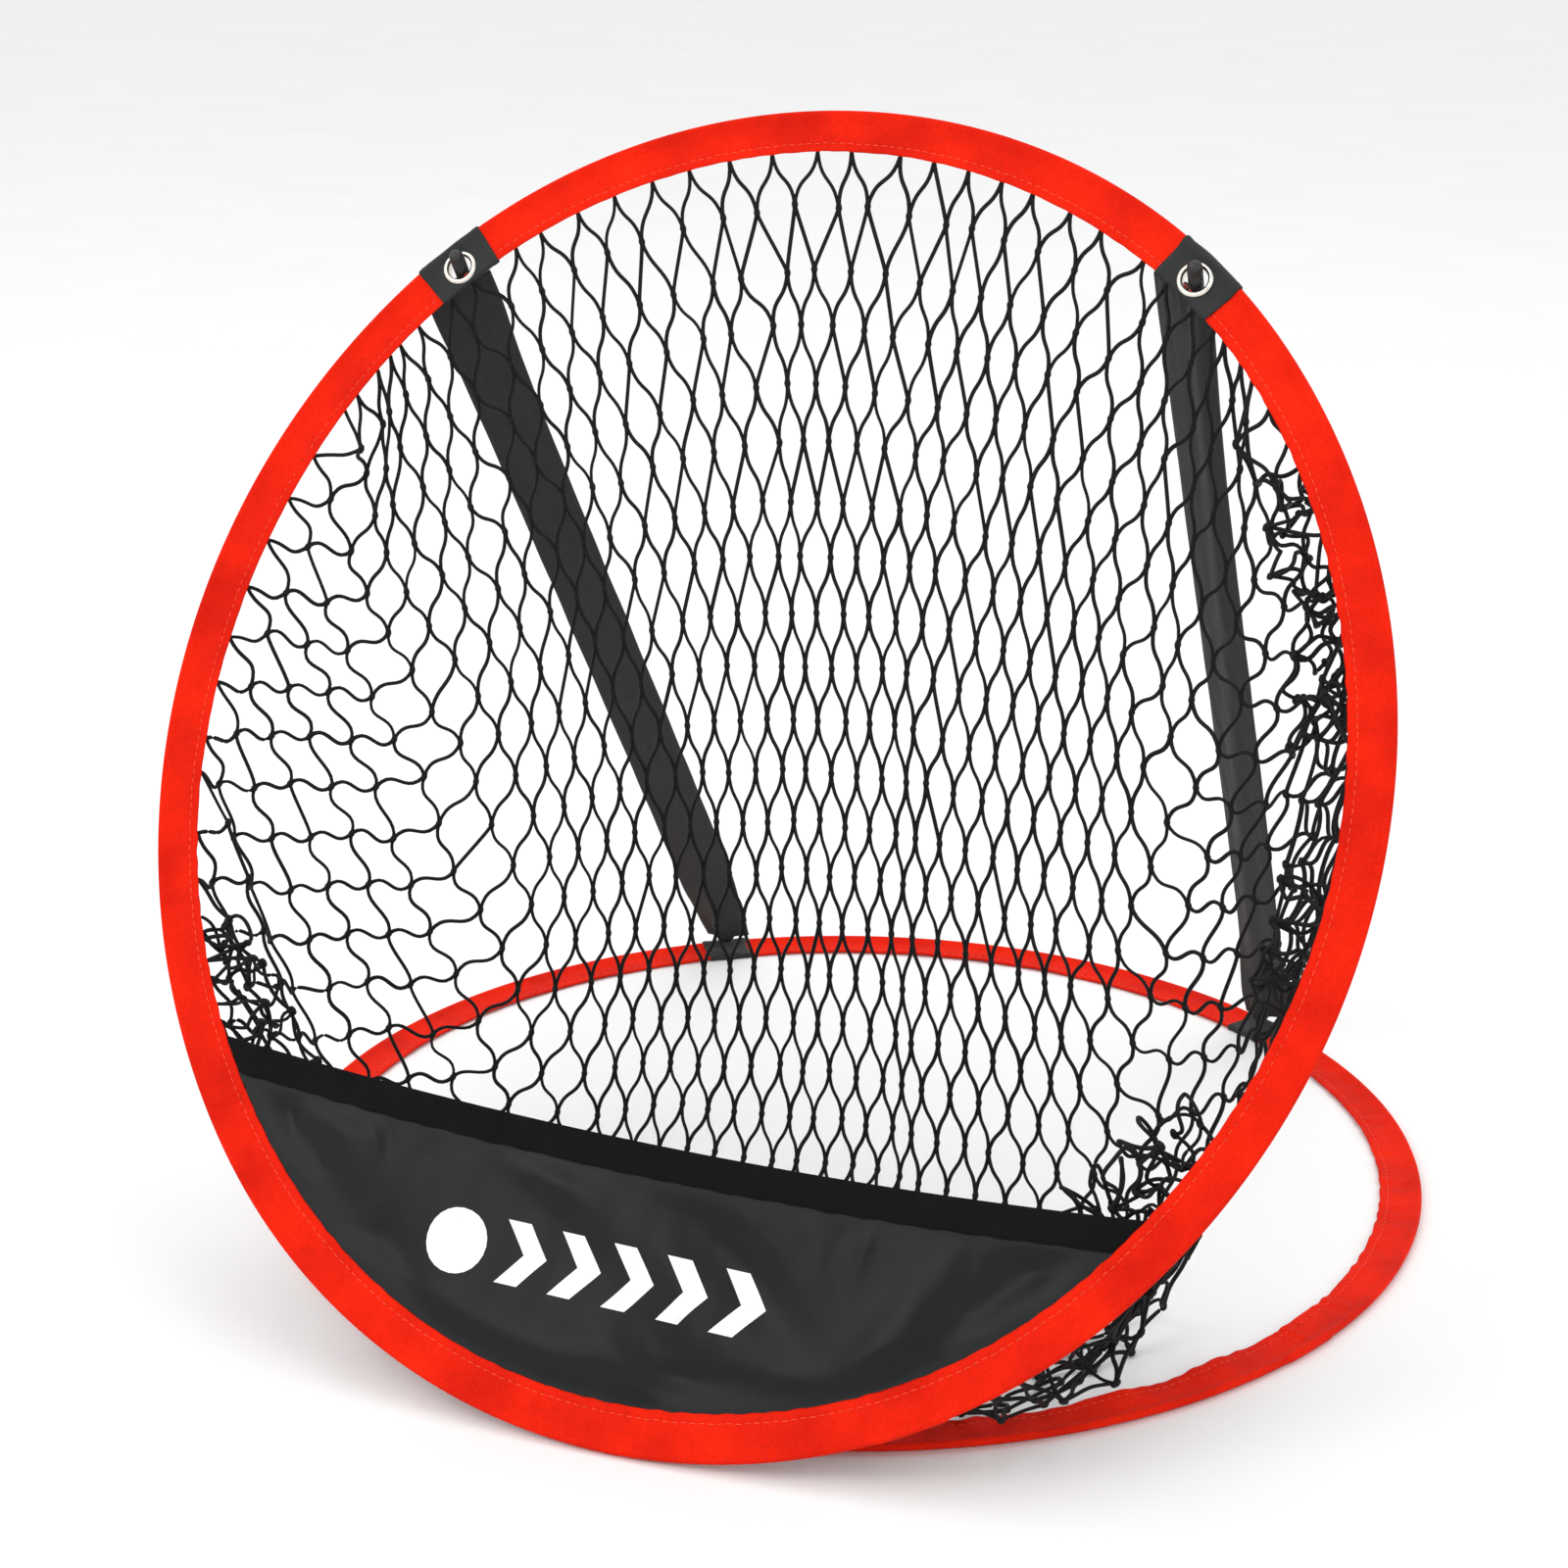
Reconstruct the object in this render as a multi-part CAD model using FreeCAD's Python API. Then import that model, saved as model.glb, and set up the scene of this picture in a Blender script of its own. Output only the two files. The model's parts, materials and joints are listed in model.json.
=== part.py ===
import FreeCAD, Part
import math
import os

"""Golf chipping net: a round target hoop that leans back over a round base hoop.

Two spring-wire hoops in flat fabric sleeves are sewn together at the front. Two struts stand on the
rear of the base hoop and prop the target hoop through an eyelet in a fabric tab. A net bag hangs
behind the target hoop, and a fabric panel closes its lowest part.

Millimetres. +Z is up, -Y is the side that the golfer faces, and +X is the golfer's right.
The origin is on the ground, in the middle of the footprint.
"""

# Hoops: wire, flat sleeve and outlines
WIRE_DIAMETER = 2.0
WIRE_CHANNEL = 2.1
SLEEVE_WIDTH = 17.0
SLEEVE_NOSE_RADIUS = 1.7
SLEEVE_FLAT_THICKNESS = 1.2
SLEEVE_FLAT_START = 5.2
FERRULE_DIAMETER = 2.8
FERRULE_CHANNEL = 2.9
FERRULE_LENGTH = 24.0
BASE_RADIUS = 241.5
TARGET_HALF_WIDTH = 237.6
TARGET_HALF_HEIGHT = 255.0
TARGET_ARC_SPLIT = 40.0
TARGET_FERRULE_ANGLE = -62.0
BASE_FERRULE_ANGLE = -25.0

# Stance
LEAN_FROM_VERTICAL = 31.0
HALF_DEPTH = 250.5
HINGE_Y = SLEEVE_NOSE_RADIUS - HALF_DEPTH
HINGE_Z = 2.7
BASE_CENTRE_Y = HALF_DEPTH - BASE_RADIUS
GROUND_FABRIC = 0.7

# Strip that joins the two hoops
STRIP_FRONT = -248.2
STRIP_FRONT_RADIUS = 96.0

# Tabs and eyelets on the target hoop
TAB_ANGLES = {"left": 134.8, "right": 50.0}
TAB_HALF_LENGTH = 15.0
TAB_FABRIC = 0.6
EYELET_INSET = 9.8
EYELET_HOLE_RADIUS = 4.7
EYELET_BARREL_RADIUS = 5.0
EYELET_FLANGE_RADIUS = 7.0
EYELET_CROWN = 1.1
WASHER_THICKNESS = 0.5

# Struts
FOOT_ANGLES = {"left": 124.0, "right": 53.4}
FOOT_INSET = 6.0
FOOT_RADIUS = 4.0
FOOT_GAP = 0.35
FOOT_LENGTH = 10.0
WRAP_HALF_LENGTH = 11.0
ROD_DIAMETER = 4.4
ROD_BORE = 4.5
TIP_DIAMETER = 5.8
TIP_BELOW_EYELET = 5.0
TIP_ABOVE_EYELET = 9.0
STRUT_WIDTH = 20.0
STRUT_THICKNESS = 6.0
STRUT_TOP_GAP = 5.6

# Front panel, hem and graphic, as heights up the target hoop's plane
HEM_POINTS = ((-200.0, 126.0), (0.0, 109.0), (200.0, 112.0))
HEM_HEIGHT = 12.0
HEM_THICKNESS = 1.4
PANEL_THICKNESS = 0.6
SEAM_GAP = 0.05
GRAPHIC_THICKNESS = 0.2
GRAPHIC_CENTRE = (-15.0, 61.0)
GRAPHIC_TURN = -2.5
BALL_RADIUS = 12.0
CHEVRON_COUNT = 5
CHEVRON_PITCH = 21.0
CHEVRON_WIDTH = 9.0
CHEVRON_HALF_HEIGHT = 11.5
CHEVRON_POINT = 9.0

# Net bag
NET_THICKNESS = 1.2
NET_SIDES = 48
NET_MOUTH_GAP = 1.2
NET_FLOOR_CENTRE_Y = -126.0
NET_FLOOR_HALF_WIDTH = 150.0
NET_FLOOR_HALF_DEPTH = 74.0
NET_FLOOR_Z = 0.9

Z_AXIS = FreeCAD.Vector(0, 0, 1)
X_AXIS = FreeCAD.Vector(1, 0, 0)
SIDES = ("left", "right")


def vector(x, y, z=0.0):
    return FreeCAD.Vector(x, y, z)


def export(shape, node):
    shape.exportStep("parts/" + node + ".step")


def on_circle(centre, radius, degrees):
    angle = math.radians(degrees)
    return vector(centre.x + radius * math.cos(angle), centre.y + radius * math.sin(angle), centre.z)


def arc_edge(centre, radius, start, end):
    middle = (start + end) / 2.0
    points = [on_circle(centre, radius, angle) for angle in (start, middle, end)]
    return Part.Arc(*points).toShape()


# Outlines of the two hoops. Each is a list of (centre, radius, start angle, end angle), lying flat.

def target_arcs():
    """Four tangent arcs that make the slightly tall oval of the target hoop, lowest point at y = 0."""
    split = math.radians(TARGET_ARC_SPLIT)
    offset = (TARGET_HALF_HEIGHT - TARGET_HALF_WIDTH) / (math.cos(split) + math.sin(split) - 1.0)
    sideways = offset * math.cos(split)
    endways = offset * math.sin(split)
    side_radius = TARGET_HALF_WIDTH + sideways
    end_radius = TARGET_HALF_HEIGHT - endways
    middle = TARGET_HALF_HEIGHT
    return {
        "right": (vector(-sideways, middle), side_radius, -TARGET_ARC_SPLIT, TARGET_ARC_SPLIT),
        "top": (vector(0, middle + endways), end_radius, TARGET_ARC_SPLIT, 180 - TARGET_ARC_SPLIT),
        "left": (vector(sideways, middle), side_radius, 180 - TARGET_ARC_SPLIT, 180 + TARGET_ARC_SPLIT),
        "bottom": (vector(0, middle - endways), end_radius, TARGET_ARC_SPLIT - 180, -TARGET_ARC_SPLIT),
    }


def base_arcs():
    return {"ring": (vector(0, BASE_CENTRE_Y), BASE_RADIUS, 0.0, 360.0)}


TARGET_ARCS = target_arcs()
BASE_ARCS = base_arcs()
TOP_CENTRE, TOP_RADIUS = TARGET_ARCS["top"][:2]


# Sections across a hoop, in the XZ plane: x is the distance from the arc's centre.

def sleeve_section(radius, fabric=0.0):
    """A round nose over the wire that falls to a flat band; fabric grows it outwards on every side."""
    nose = SLEEVE_NOSE_RADIUS
    grown = nose + fabric
    centre = vector(radius - nose, 0, nose)
    shoulder_angle = math.radians(25.0)
    shoulder = centre + vector(-grown * math.cos(shoulder_angle), 0, grown * math.sin(shoulder_angle))
    flat_top = SLEEVE_FLAT_THICKNESS + fabric
    band_start = radius - SLEEVE_FLAT_START
    band_end = radius - SLEEVE_WIDTH - fabric
    under_nose = centre - vector(0, 0, grown)
    edges = [
        Part.Arc(under_nose, centre + vector(grown, 0, 0), shoulder).toShape(),
        Part.makeLine(shoulder, vector(band_start, 0, flat_top)),
        Part.makeLine(vector(band_start, 0, flat_top), vector(band_end, 0, flat_top)),
        Part.makeLine(vector(band_end, 0, flat_top), vector(band_end, 0, -fabric)),
        Part.makeLine(vector(band_end, 0, -fabric), under_nose),
    ]
    return Part.Face(Part.Wire(edges))


def round_section(radius, diameter):
    centre = vector(radius - SLEEVE_NOSE_RADIUS, 0, SLEEVE_NOSE_RADIUS)
    circle = Part.makeCircle(diameter / 2.0, centre, vector(0, 1, 0))
    return Part.Face(Part.Wire([circle]))


def sweep(section, centre, start, end):
    """Turns a section about its arc's centre, from the start angle to the end angle."""
    solid = section.revolve(vector(0, 0), Z_AXIS, end - start)
    solid.rotate(vector(0, 0), Z_AXIS, start)
    solid.translate(centre)
    return solid


def hoop(arcs, make_section):
    pieces = [sweep(make_section(arc[1]), arc[0], arc[2], arc[3]) for arc in arcs.values()]
    ring = pieces[0]
    if len(pieces) > 1:
        ring = ring.multiFuse(pieces[1:])
    return ring


def short_sweep(make_section, arc, angle, half_length):
    centre, radius = arc[:2]
    half_angle = math.degrees(half_length / radius)
    return sweep(make_section(radius), centre, angle - half_angle, angle + half_angle)


def hoop_wire(arcs):
    return hoop(arcs, lambda radius: round_section(radius, WIRE_DIAMETER))


def hoop_ferrule(arc, angle):
    """Crimped tube over the two ends of the wire."""
    outside = short_sweep(lambda radius: round_section(radius, FERRULE_DIAMETER), arc, angle, FERRULE_LENGTH / 2)
    bore = short_sweep(lambda radius: round_section(radius, WIRE_DIAMETER), arc, angle, FERRULE_LENGTH)
    return outside.cut(bore)


def hoop_sleeve(arcs, ferrule_arc, ferrule_angle):
    """Flat fabric band with a round channel at its outer edge for the wire."""
    band = hoop(arcs, sleeve_section)
    channel = hoop(arcs, lambda radius: round_section(radius, WIRE_CHANNEL))
    pocket_half_length = FERRULE_LENGTH / 2 + 1.0
    pocket = short_sweep(
        lambda radius: round_section(radius, FERRULE_CHANNEL), ferrule_arc, ferrule_angle, pocket_half_length
    )
    return band.cut(channel.fuse(pocket))


def fabric_wrap(arc, angle, half_length, fabric):
    """Fabric folded round the sleeve, touching it on every side."""
    outside = short_sweep(lambda radius: sleeve_section(radius, fabric), arc, angle, half_length)
    inside = short_sweep(lambda radius: sleeve_section(radius, 0.02), arc, angle, half_length + 5.0)
    return outside.cut(inside)


# Placing things that lie flat onto the leaning target hoop

def stand_up(shape):
    pivot = vector(0, SLEEVE_NOSE_RADIUS, SLEEVE_NOSE_RADIUS)
    placed = shape.copy()
    placed.rotate(pivot, X_AXIS, 90.0 - LEAN_FROM_VERTICAL)
    placed.translate(vector(0, HINGE_Y, HINGE_Z) - pivot)
    return placed


def stand_up_point(point):
    return stand_up(Part.Vertex(point)).Point


def lift_base(shape):
    placed = shape.copy()
    placed.translate(vector(0, 0, GROUND_FABRIC))
    return placed


# Eyelets

def eyelet_centre(side):
    return on_circle(TOP_CENTRE, TOP_RADIUS - EYELET_INSET, TAB_ANGLES[side])


def eyelet(side):
    """Brass-type eyelet: domed front flange, barrel, and a lip rolled over the washer behind."""
    front = SLEEVE_FLAT_THICKNESS + TAB_FABRIC
    back = -TAB_FABRIC - WASHER_THICKNESS
    hole = EYELET_HOLE_RADIUS
    barrel = EYELET_BARREL_RADIUS
    flange = EYELET_FLANGE_RADIUS
    lip = barrel + 0.8
    crown = vector((hole + flange) / 2, 0, front + EYELET_CROWN)
    edges = [
        Part.Arc(vector(hole, 0, front), crown, vector(flange, 0, front)).toShape(),
        Part.makeLine(vector(flange, 0, front), vector(barrel, 0, front)),
        Part.makeLine(vector(barrel, 0, front), vector(barrel, 0, back)),
        Part.makeLine(vector(barrel, 0, back), vector(lip, 0, back)),
        Part.Arc(vector(lip, 0, back), vector((lip + hole) / 2, 0, back - 0.5), vector(hole, 0, back)).toShape(),
        Part.makeLine(vector(hole, 0, back), vector(hole, 0, front)),
    ]
    solid = Part.Face(Part.Wire(edges)).revolve(vector(0, 0), Z_AXIS, 360)
    solid.translate(eyelet_centre(side))
    return solid


def eyelet_washer(side):
    centre = eyelet_centre(side)
    bottom = centre - vector(0, 0, TAB_FABRIC + WASHER_THICKNESS)
    disc = Part.makeCylinder(EYELET_FLANGE_RADIUS, WASHER_THICKNESS, bottom)
    return disc.cut(Part.makeCylinder(EYELET_BARREL_RADIUS, WASHER_THICKNESS, bottom))


def eyelet_room(side):
    """What the eyelet takes out of the fabric: its barrel, and the slope under its flange."""
    centre = eyelet_centre(side)
    barrel = Part.makeCylinder(EYELET_BARREL_RADIUS, 10.0, centre - vector(0, 0, 5))
    seat_height = SLEEVE_FLAT_THICKNESS + TAB_FABRIC
    seat = Part.makeCylinder(EYELET_FLANGE_RADIUS + 0.05, 5.0, centre + vector(0, 0, seat_height))
    return barrel.fuse(seat)


# Front panel

def inner_outline_prism(bottom, height):
    """The opening inside the target hoop's sleeve, as a thin prism."""
    inset = SLEEVE_WIDTH + SEAM_GAP
    edges = [arc_edge(arc[0], arc[1] - inset, arc[2], arc[3]) for arc in TARGET_ARCS.values()]
    face = Part.Face(Part.Wire(Part.__sortEdges__(edges)))
    face.translate(vector(0, 0, bottom))
    return face.extrude(vector(0, 0, height))


def below_hem(drop, bottom, height):
    """Everything lower than the hem's curved top edge, less drop."""
    left, middle, right = [vector(x, y - drop) for x, y in HEM_POINTS]
    edges = [
        Part.Arc(left, middle, right).toShape(),
        Part.makeLine(right, vector(right.x, -10)),
        Part.makeLine(vector(right.x, -10), vector(left.x, -10)),
        Part.makeLine(vector(left.x, -10), left),
    ]
    face = Part.Face(Part.Wire(edges))
    face.translate(vector(0, 0, bottom))
    return face.extrude(vector(0, 0, height))


def panel_bottom():
    return (SLEEVE_FLAT_THICKNESS - PANEL_THICKNESS) / 2


def front_panel():
    bottom = panel_bottom()
    opening = inner_outline_prism(bottom, PANEL_THICKNESS)
    return opening.common(below_hem(HEM_HEIGHT, bottom, PANEL_THICKNESS))


def panel_hem():
    bottom = (SLEEVE_FLAT_THICKNESS - HEM_THICKNESS) / 2
    opening = inner_outline_prism(bottom, HEM_THICKNESS)
    band = opening.common(below_hem(0, bottom, HEM_THICKNESS))
    return band.cut(below_hem(HEM_HEIGHT, bottom, HEM_THICKNESS))


def chevron(start):
    half = CHEVRON_HALF_HEIGHT
    tip = start + CHEVRON_POINT
    points = [
        vector(start, half),
        vector(start + CHEVRON_WIDTH, half),
        vector(tip + CHEVRON_WIDTH, 0),
        vector(start + CHEVRON_WIDTH, -half),
        vector(start, -half),
        vector(tip, 0),
    ]
    wire = Part.makePolygon(points + points[:1])
    return Part.Face(wire).extrude(vector(0, 0, GRAPHIC_THICKNESS))


def panel_graphic():
    """A plain ball disc led by a row of chevrons."""
    row_length = CHEVRON_COUNT * CHEVRON_PITCH
    first = BALL_RADIUS - row_length / 2
    pieces = [chevron(first + index * CHEVRON_PITCH) for index in range(CHEVRON_COUNT)]
    ball_centre = vector(first - BALL_RADIUS - 6.0, 0)
    pieces.append(Part.makeCylinder(BALL_RADIUS, GRAPHIC_THICKNESS, ball_centre))
    graphic = Part.makeCompound(pieces)
    graphic.rotate(vector(0, 0), Z_AXIS, GRAPHIC_TURN)
    graphic.translate(vector(*GRAPHIC_CENTRE, panel_bottom() + PANEL_THICKNESS))
    return graphic


# Net bag

def ellipse_points(centre, half_width, half_depth):
    turn = 2 * math.pi / NET_SIDES
    return [
        centre + vector(half_width * math.cos(turn * step), half_depth * math.sin(turn * step))
        for step in range(NET_SIDES)
    ]


def net_rims(shrink):
    """Points round the leaning mouth and round the smaller patch that lies on the ground."""
    mouth_inset = SLEEVE_WIDTH + shrink
    mouth_centre = vector(0, TARGET_HALF_HEIGHT, -NET_MOUTH_GAP)
    mouth_height = TARGET_HALF_HEIGHT - mouth_inset
    mouth_width = TARGET_HALF_WIDTH - mouth_inset
    mouth = [stand_up_point(point) for point in ellipse_points(mouth_centre, mouth_width, mouth_height)]
    floor_centre = vector(0, NET_FLOOR_CENTRE_Y, NET_FLOOR_Z + shrink)
    floor = ellipse_points(floor_centre, NET_FLOOR_HALF_WIDTH - shrink, NET_FLOOR_HALF_DEPTH - shrink)
    return mouth, floor


def polygon_face(points):
    return Part.Face(Part.makePolygon(points + points[:1]))


def net_wall(mouth, floor):
    """Triangles between two rims with the same number of points."""
    faces = []
    for index in range(NET_SIDES):
        after = (index + 1) % NET_SIDES
        faces.append(polygon_face([mouth[index], mouth[after], floor[index]]))
        faces.append(polygon_face([mouth[after], floor[after], floor[index]]))
    return faces


def net_bag():
    """Thin cup: an outer and an inner wall that share the mouth's flat rim."""
    outer_mouth, outer_floor = net_rims(0.0)
    inner_mouth, inner_floor = net_rims(NET_THICKNESS)
    walls = net_wall(outer_mouth, outer_floor) + net_wall(inner_mouth, inner_floor)
    rim = net_wall(outer_mouth, inner_mouth)
    floors = [polygon_face(outer_floor), polygon_face(inner_floor)]
    shell = Part.makeShell(walls + rim + floors)
    shell.sewShape(0.001)
    bag = Part.makeSolid(Part.Shell(shell.Faces))
    if bag.Volume < 0:
        bag.reverse()
    return bag


# Base: strip and anchors

def hinge_strip():
    """Flat crescent of fabric on the ground that joins the two sleeves along the front."""
    disc_centre = vector(0, STRIP_FRONT + STRIP_FRONT_RADIUS)
    disc = Part.makeCylinder(STRIP_FRONT_RADIUS, GROUND_FABRIC, disc_centre)
    ring_hole = Part.makeCylinder(BASE_RADIUS + SEAM_GAP, 4.0, vector(0, BASE_CENTRE_Y, -1))
    return disc.cut(ring_hole)


def anchor_wrap(side):
    return lift_base(fabric_wrap(BASE_ARCS["ring"], FOOT_ANGLES[side], WRAP_HALF_LENGTH, GROUND_FABRIC))


# Struts, each along its own axis from the foot's pivot to the eyelet

def foot_pivot(side):
    """Centre of the round foot, just above the anchor's fabric."""
    height = 2 * GROUND_FABRIC + 2 * SLEEVE_NOSE_RADIUS + FOOT_GAP + FOOT_RADIUS
    return on_circle(vector(0, BASE_CENTRE_Y, height), BASE_RADIUS - FOOT_INSET, FOOT_ANGLES[side])


def eyelet_point(side):
    """Middle of the eyelet's hole on the standing hoop."""
    return stand_up_point(eyelet_centre(side) + vector(0, 0, SLEEVE_FLAT_THICKNESS / 2))


def strut_length(side):
    return (eyelet_point(side) - foot_pivot(side)).Length


def place_on_strut(shape, side):
    """Moves a shape from the Z axis to the strut's axis, its width across the object."""
    foot = foot_pivot(side)
    along = (eyelet_point(side) - foot).normalize()
    across = (X_AXIS - along * X_AXIS.dot(along)).normalize()
    through = along.cross(across)
    matrix = FreeCAD.Matrix(
        across.x, through.x, along.x, foot.x,
        across.y, through.y, along.y, foot.y,
        across.z, through.z, along.z, foot.z,
        0, 0, 0, 1,
    )
    placed = shape.copy()
    placed.Placement = FreeCAD.Placement(matrix).multiply(placed.Placement)
    return placed


def strut_rod(side):
    bottom = 1.5
    top = strut_length(side) + TIP_ABOVE_EYELET / 2
    return Part.makeCylinder(ROD_DIAMETER / 2, top - bottom, vector(0, 0, bottom))


def strut_foot(side):
    """Round-ended plastic cap on the rod's lower end."""
    ball = Part.makeSphere(FOOT_RADIUS)
    socket = Part.makeCylinder(FOOT_RADIUS, FOOT_LENGTH)
    bore = Part.makeCylinder(ROD_DIAMETER / 2, FOOT_LENGTH, vector(0, 0, 1.5))
    return ball.fuse(socket).cut(bore)


def strut_tip(side):
    """Plastic cap that reaches up through the eyelet."""
    length = strut_length(side)
    radius = TIP_DIAMETER / 2
    bottom = length - TIP_BELOW_EYELET
    dome_centre = length + TIP_ABOVE_EYELET - radius
    body = Part.makeCylinder(radius, dome_centre - bottom, vector(0, 0, bottom))
    dome = Part.makeSphere(radius, vector(0, 0, dome_centre))
    bore_depth = TIP_BELOW_EYELET + TIP_ABOVE_EYELET / 2
    bore = Part.makeCylinder(ROD_DIAMETER / 2, bore_depth, vector(0, 0, bottom))
    return body.fuse(dome).cut(bore)


def strut_sleeve(side):
    """Flat fabric tube round the rod."""
    bottom = FOOT_LENGTH + 0.1
    top = strut_length(side) - STRUT_TOP_GAP
    half_flat = (STRUT_WIDTH - STRUT_THICKNESS) / 2
    half_thick = STRUT_THICKNESS / 2
    edges = [
        Part.makeLine(vector(-half_flat, -half_thick), vector(half_flat, -half_thick)),
        arc_edge(vector(half_flat, 0), half_thick, -90, 90),
        Part.makeLine(vector(half_flat, half_thick), vector(-half_flat, half_thick)),
        arc_edge(vector(-half_flat, 0), half_thick, 90, 270),
    ]
    section = Part.Face(Part.Wire(edges))
    section.translate(vector(0, 0, bottom))
    tube = section.extrude(vector(0, 0, top - bottom))
    bore = Part.makeCylinder(ROD_BORE / 2, top - bottom + 2, vector(0, 0, bottom - 1))
    return tube.cut(bore)


def build_base():
    ring = BASE_ARCS["ring"]
    export(lift_base(hoop_wire(BASE_ARCS)), "base_hoop_wire")
    export(lift_base(hoop_ferrule(ring, BASE_FERRULE_ANGLE)), "base_wire_ferrule")
    export(lift_base(hoop_sleeve(BASE_ARCS, ring, BASE_FERRULE_ANGLE)), "base_hoop_sleeve")
    export(hinge_strip(), "hinge_strip")
    for side in SIDES:
        export(anchor_wrap(side), side + "_anchor_wrap")


def build_target():
    bottom_arc = TARGET_ARCS["bottom"]
    top_arc = TARGET_ARCS["top"]
    sleeve = hoop_sleeve(TARGET_ARCS, bottom_arc, TARGET_FERRULE_ANGLE)
    for side in SIDES:
        sleeve = sleeve.cut(eyelet_room(side))
        tab = fabric_wrap(top_arc, TAB_ANGLES[side], TAB_HALF_LENGTH, TAB_FABRIC).cut(eyelet_room(side))
        export(stand_up(tab), side + "_tab")
        export(stand_up(eyelet(side)), side + "_eyelet")
        export(stand_up(eyelet_washer(side)), side + "_eyelet_washer")
    export(stand_up(sleeve), "target_hoop_sleeve")
    export(stand_up(hoop_wire(TARGET_ARCS)), "target_hoop_wire")
    export(stand_up(hoop_ferrule(bottom_arc, TARGET_FERRULE_ANGLE)), "target_wire_ferrule")
    export(stand_up(front_panel()), "front_panel")
    export(stand_up(panel_hem()), "panel_hem")
    export(stand_up(panel_graphic()), "panel_graphic")
    export(net_bag(), "net_bag")


def build_struts():
    makers = {"rod": strut_rod, "foot": strut_foot, "tip": strut_tip, "sleeve": strut_sleeve}
    for side in SIDES:
        for name, maker in makers.items():
            export(place_on_strut(maker(side), side), side + "_strut_" + name)
        print(side, "strut pivot", foot_pivot(side), "eyelet", eyelet_point(side))


os.makedirs("parts", exist_ok=True)
build_base()
build_target()
build_struts()
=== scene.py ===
"""Golf chipping net: fabric, netting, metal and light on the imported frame, in metres."""
import json
import math

import bmesh
import bpy
import numpy as np
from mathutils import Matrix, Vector


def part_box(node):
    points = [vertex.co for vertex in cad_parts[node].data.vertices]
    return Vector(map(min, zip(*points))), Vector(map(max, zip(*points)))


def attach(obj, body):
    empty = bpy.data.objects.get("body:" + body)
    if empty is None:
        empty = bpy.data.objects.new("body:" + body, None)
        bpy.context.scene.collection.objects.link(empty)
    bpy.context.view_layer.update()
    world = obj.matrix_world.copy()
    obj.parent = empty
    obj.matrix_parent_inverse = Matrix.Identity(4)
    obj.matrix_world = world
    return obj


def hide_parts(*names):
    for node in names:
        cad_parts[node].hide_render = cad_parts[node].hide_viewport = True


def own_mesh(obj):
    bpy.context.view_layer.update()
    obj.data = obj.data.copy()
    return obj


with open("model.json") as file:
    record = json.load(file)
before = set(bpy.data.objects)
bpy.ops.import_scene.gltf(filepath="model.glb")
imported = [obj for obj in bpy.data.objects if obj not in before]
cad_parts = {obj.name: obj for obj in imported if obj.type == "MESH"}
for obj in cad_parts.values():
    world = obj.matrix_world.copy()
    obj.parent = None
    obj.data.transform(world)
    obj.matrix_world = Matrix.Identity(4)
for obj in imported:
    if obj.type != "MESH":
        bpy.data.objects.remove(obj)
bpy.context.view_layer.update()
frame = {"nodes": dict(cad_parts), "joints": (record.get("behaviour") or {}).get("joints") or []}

RNG = np.random.default_rng(11)

# Sizes that the CAD states

JOINTS = {joint["name"]: joint for joint in frame["joints"]}
HINGE = np.array(JOINTS["target_fold"]["pos_m"])
LEAN = math.radians(31.0)
NOSE = 0.0017
SLEEVE = 0.017
FLAT_THICKNESS = 0.0012
BASE_LIFT = 0.0007
HALF_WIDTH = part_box("target_hoop_sleeve")[1][0]
HALF_HEIGHT = 0.255
SPLIT = math.radians(40.0)
BASE_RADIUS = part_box("base_hoop_sleeve")[1][0]
BASE_MIDDLE = np.array([0.0, (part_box("base_hoop_sleeve")[0][1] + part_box("base_hoop_sleeve")[1][1]) / 2])


# Places on the target hoop

def stand_up(points):
    """Points (x, up the hoop's plane, out of its front) in the row's frame."""
    p = np.asarray(points, float) - (0.0, NOSE, NOSE)
    c, s = math.sin(LEAN), math.cos(LEAN)
    return np.stack([p[..., 0], p[..., 1] * c - p[..., 2] * s, p[..., 1] * s + p[..., 2] * c], -1) + HINGE


def lie_down(points):
    """The way back of stand_up: points of the row's frame as (x, up, out) of the target hoop."""
    p = points - HINGE
    c, s = math.sin(LEAN), math.cos(LEAN)
    up = p[..., 1] * c + p[..., 2] * s + NOSE
    out = -p[..., 1] * s + p[..., 2] * c + NOSE
    return np.stack([p[..., 0], up, out], -1)


def arc_offsets():
    """How far the middles of the side arcs and the end arcs lie from the hoop's middle."""
    offset = (HALF_HEIGHT - HALF_WIDTH) / (math.cos(SPLIT) + math.sin(SPLIT) - 1.0)
    return offset * math.cos(SPLIT), offset * math.sin(SPLIT)


def oval(angle, inset=0.0):
    """The target hoop's outer edge, moved in by inset, at these angles about its middle: flat (x, up)."""
    side, end = arc_offsets()
    c, s = np.cos(angle), np.sin(angle)

    def reach(cx, cy, radius):
        b = c * cx + s * cy
        return b + np.sqrt(np.maximum(b * b - (cx * cx + cy * cy - radius * radius), 0))

    to_side = reach(-np.sign(c) * side, 0.0, HALF_WIDTH + side - inset)
    to_end = reach(0.0, np.sign(s) * end, HALF_HEIGHT - end - inset)
    on_side = np.abs(np.arctan2(to_side * s, np.abs(to_side * c) + side)) <= SPLIT
    r = np.where(on_side, to_side, to_end)
    return np.stack([r * c, r * s + HALF_HEIGHT], -1)


def ease(x):
    """A soft step from 0 to 1 as x goes from 0 to 1."""
    x = np.clip(x, 0, 1)
    return x * x * (3 - 2 * x)


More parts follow.
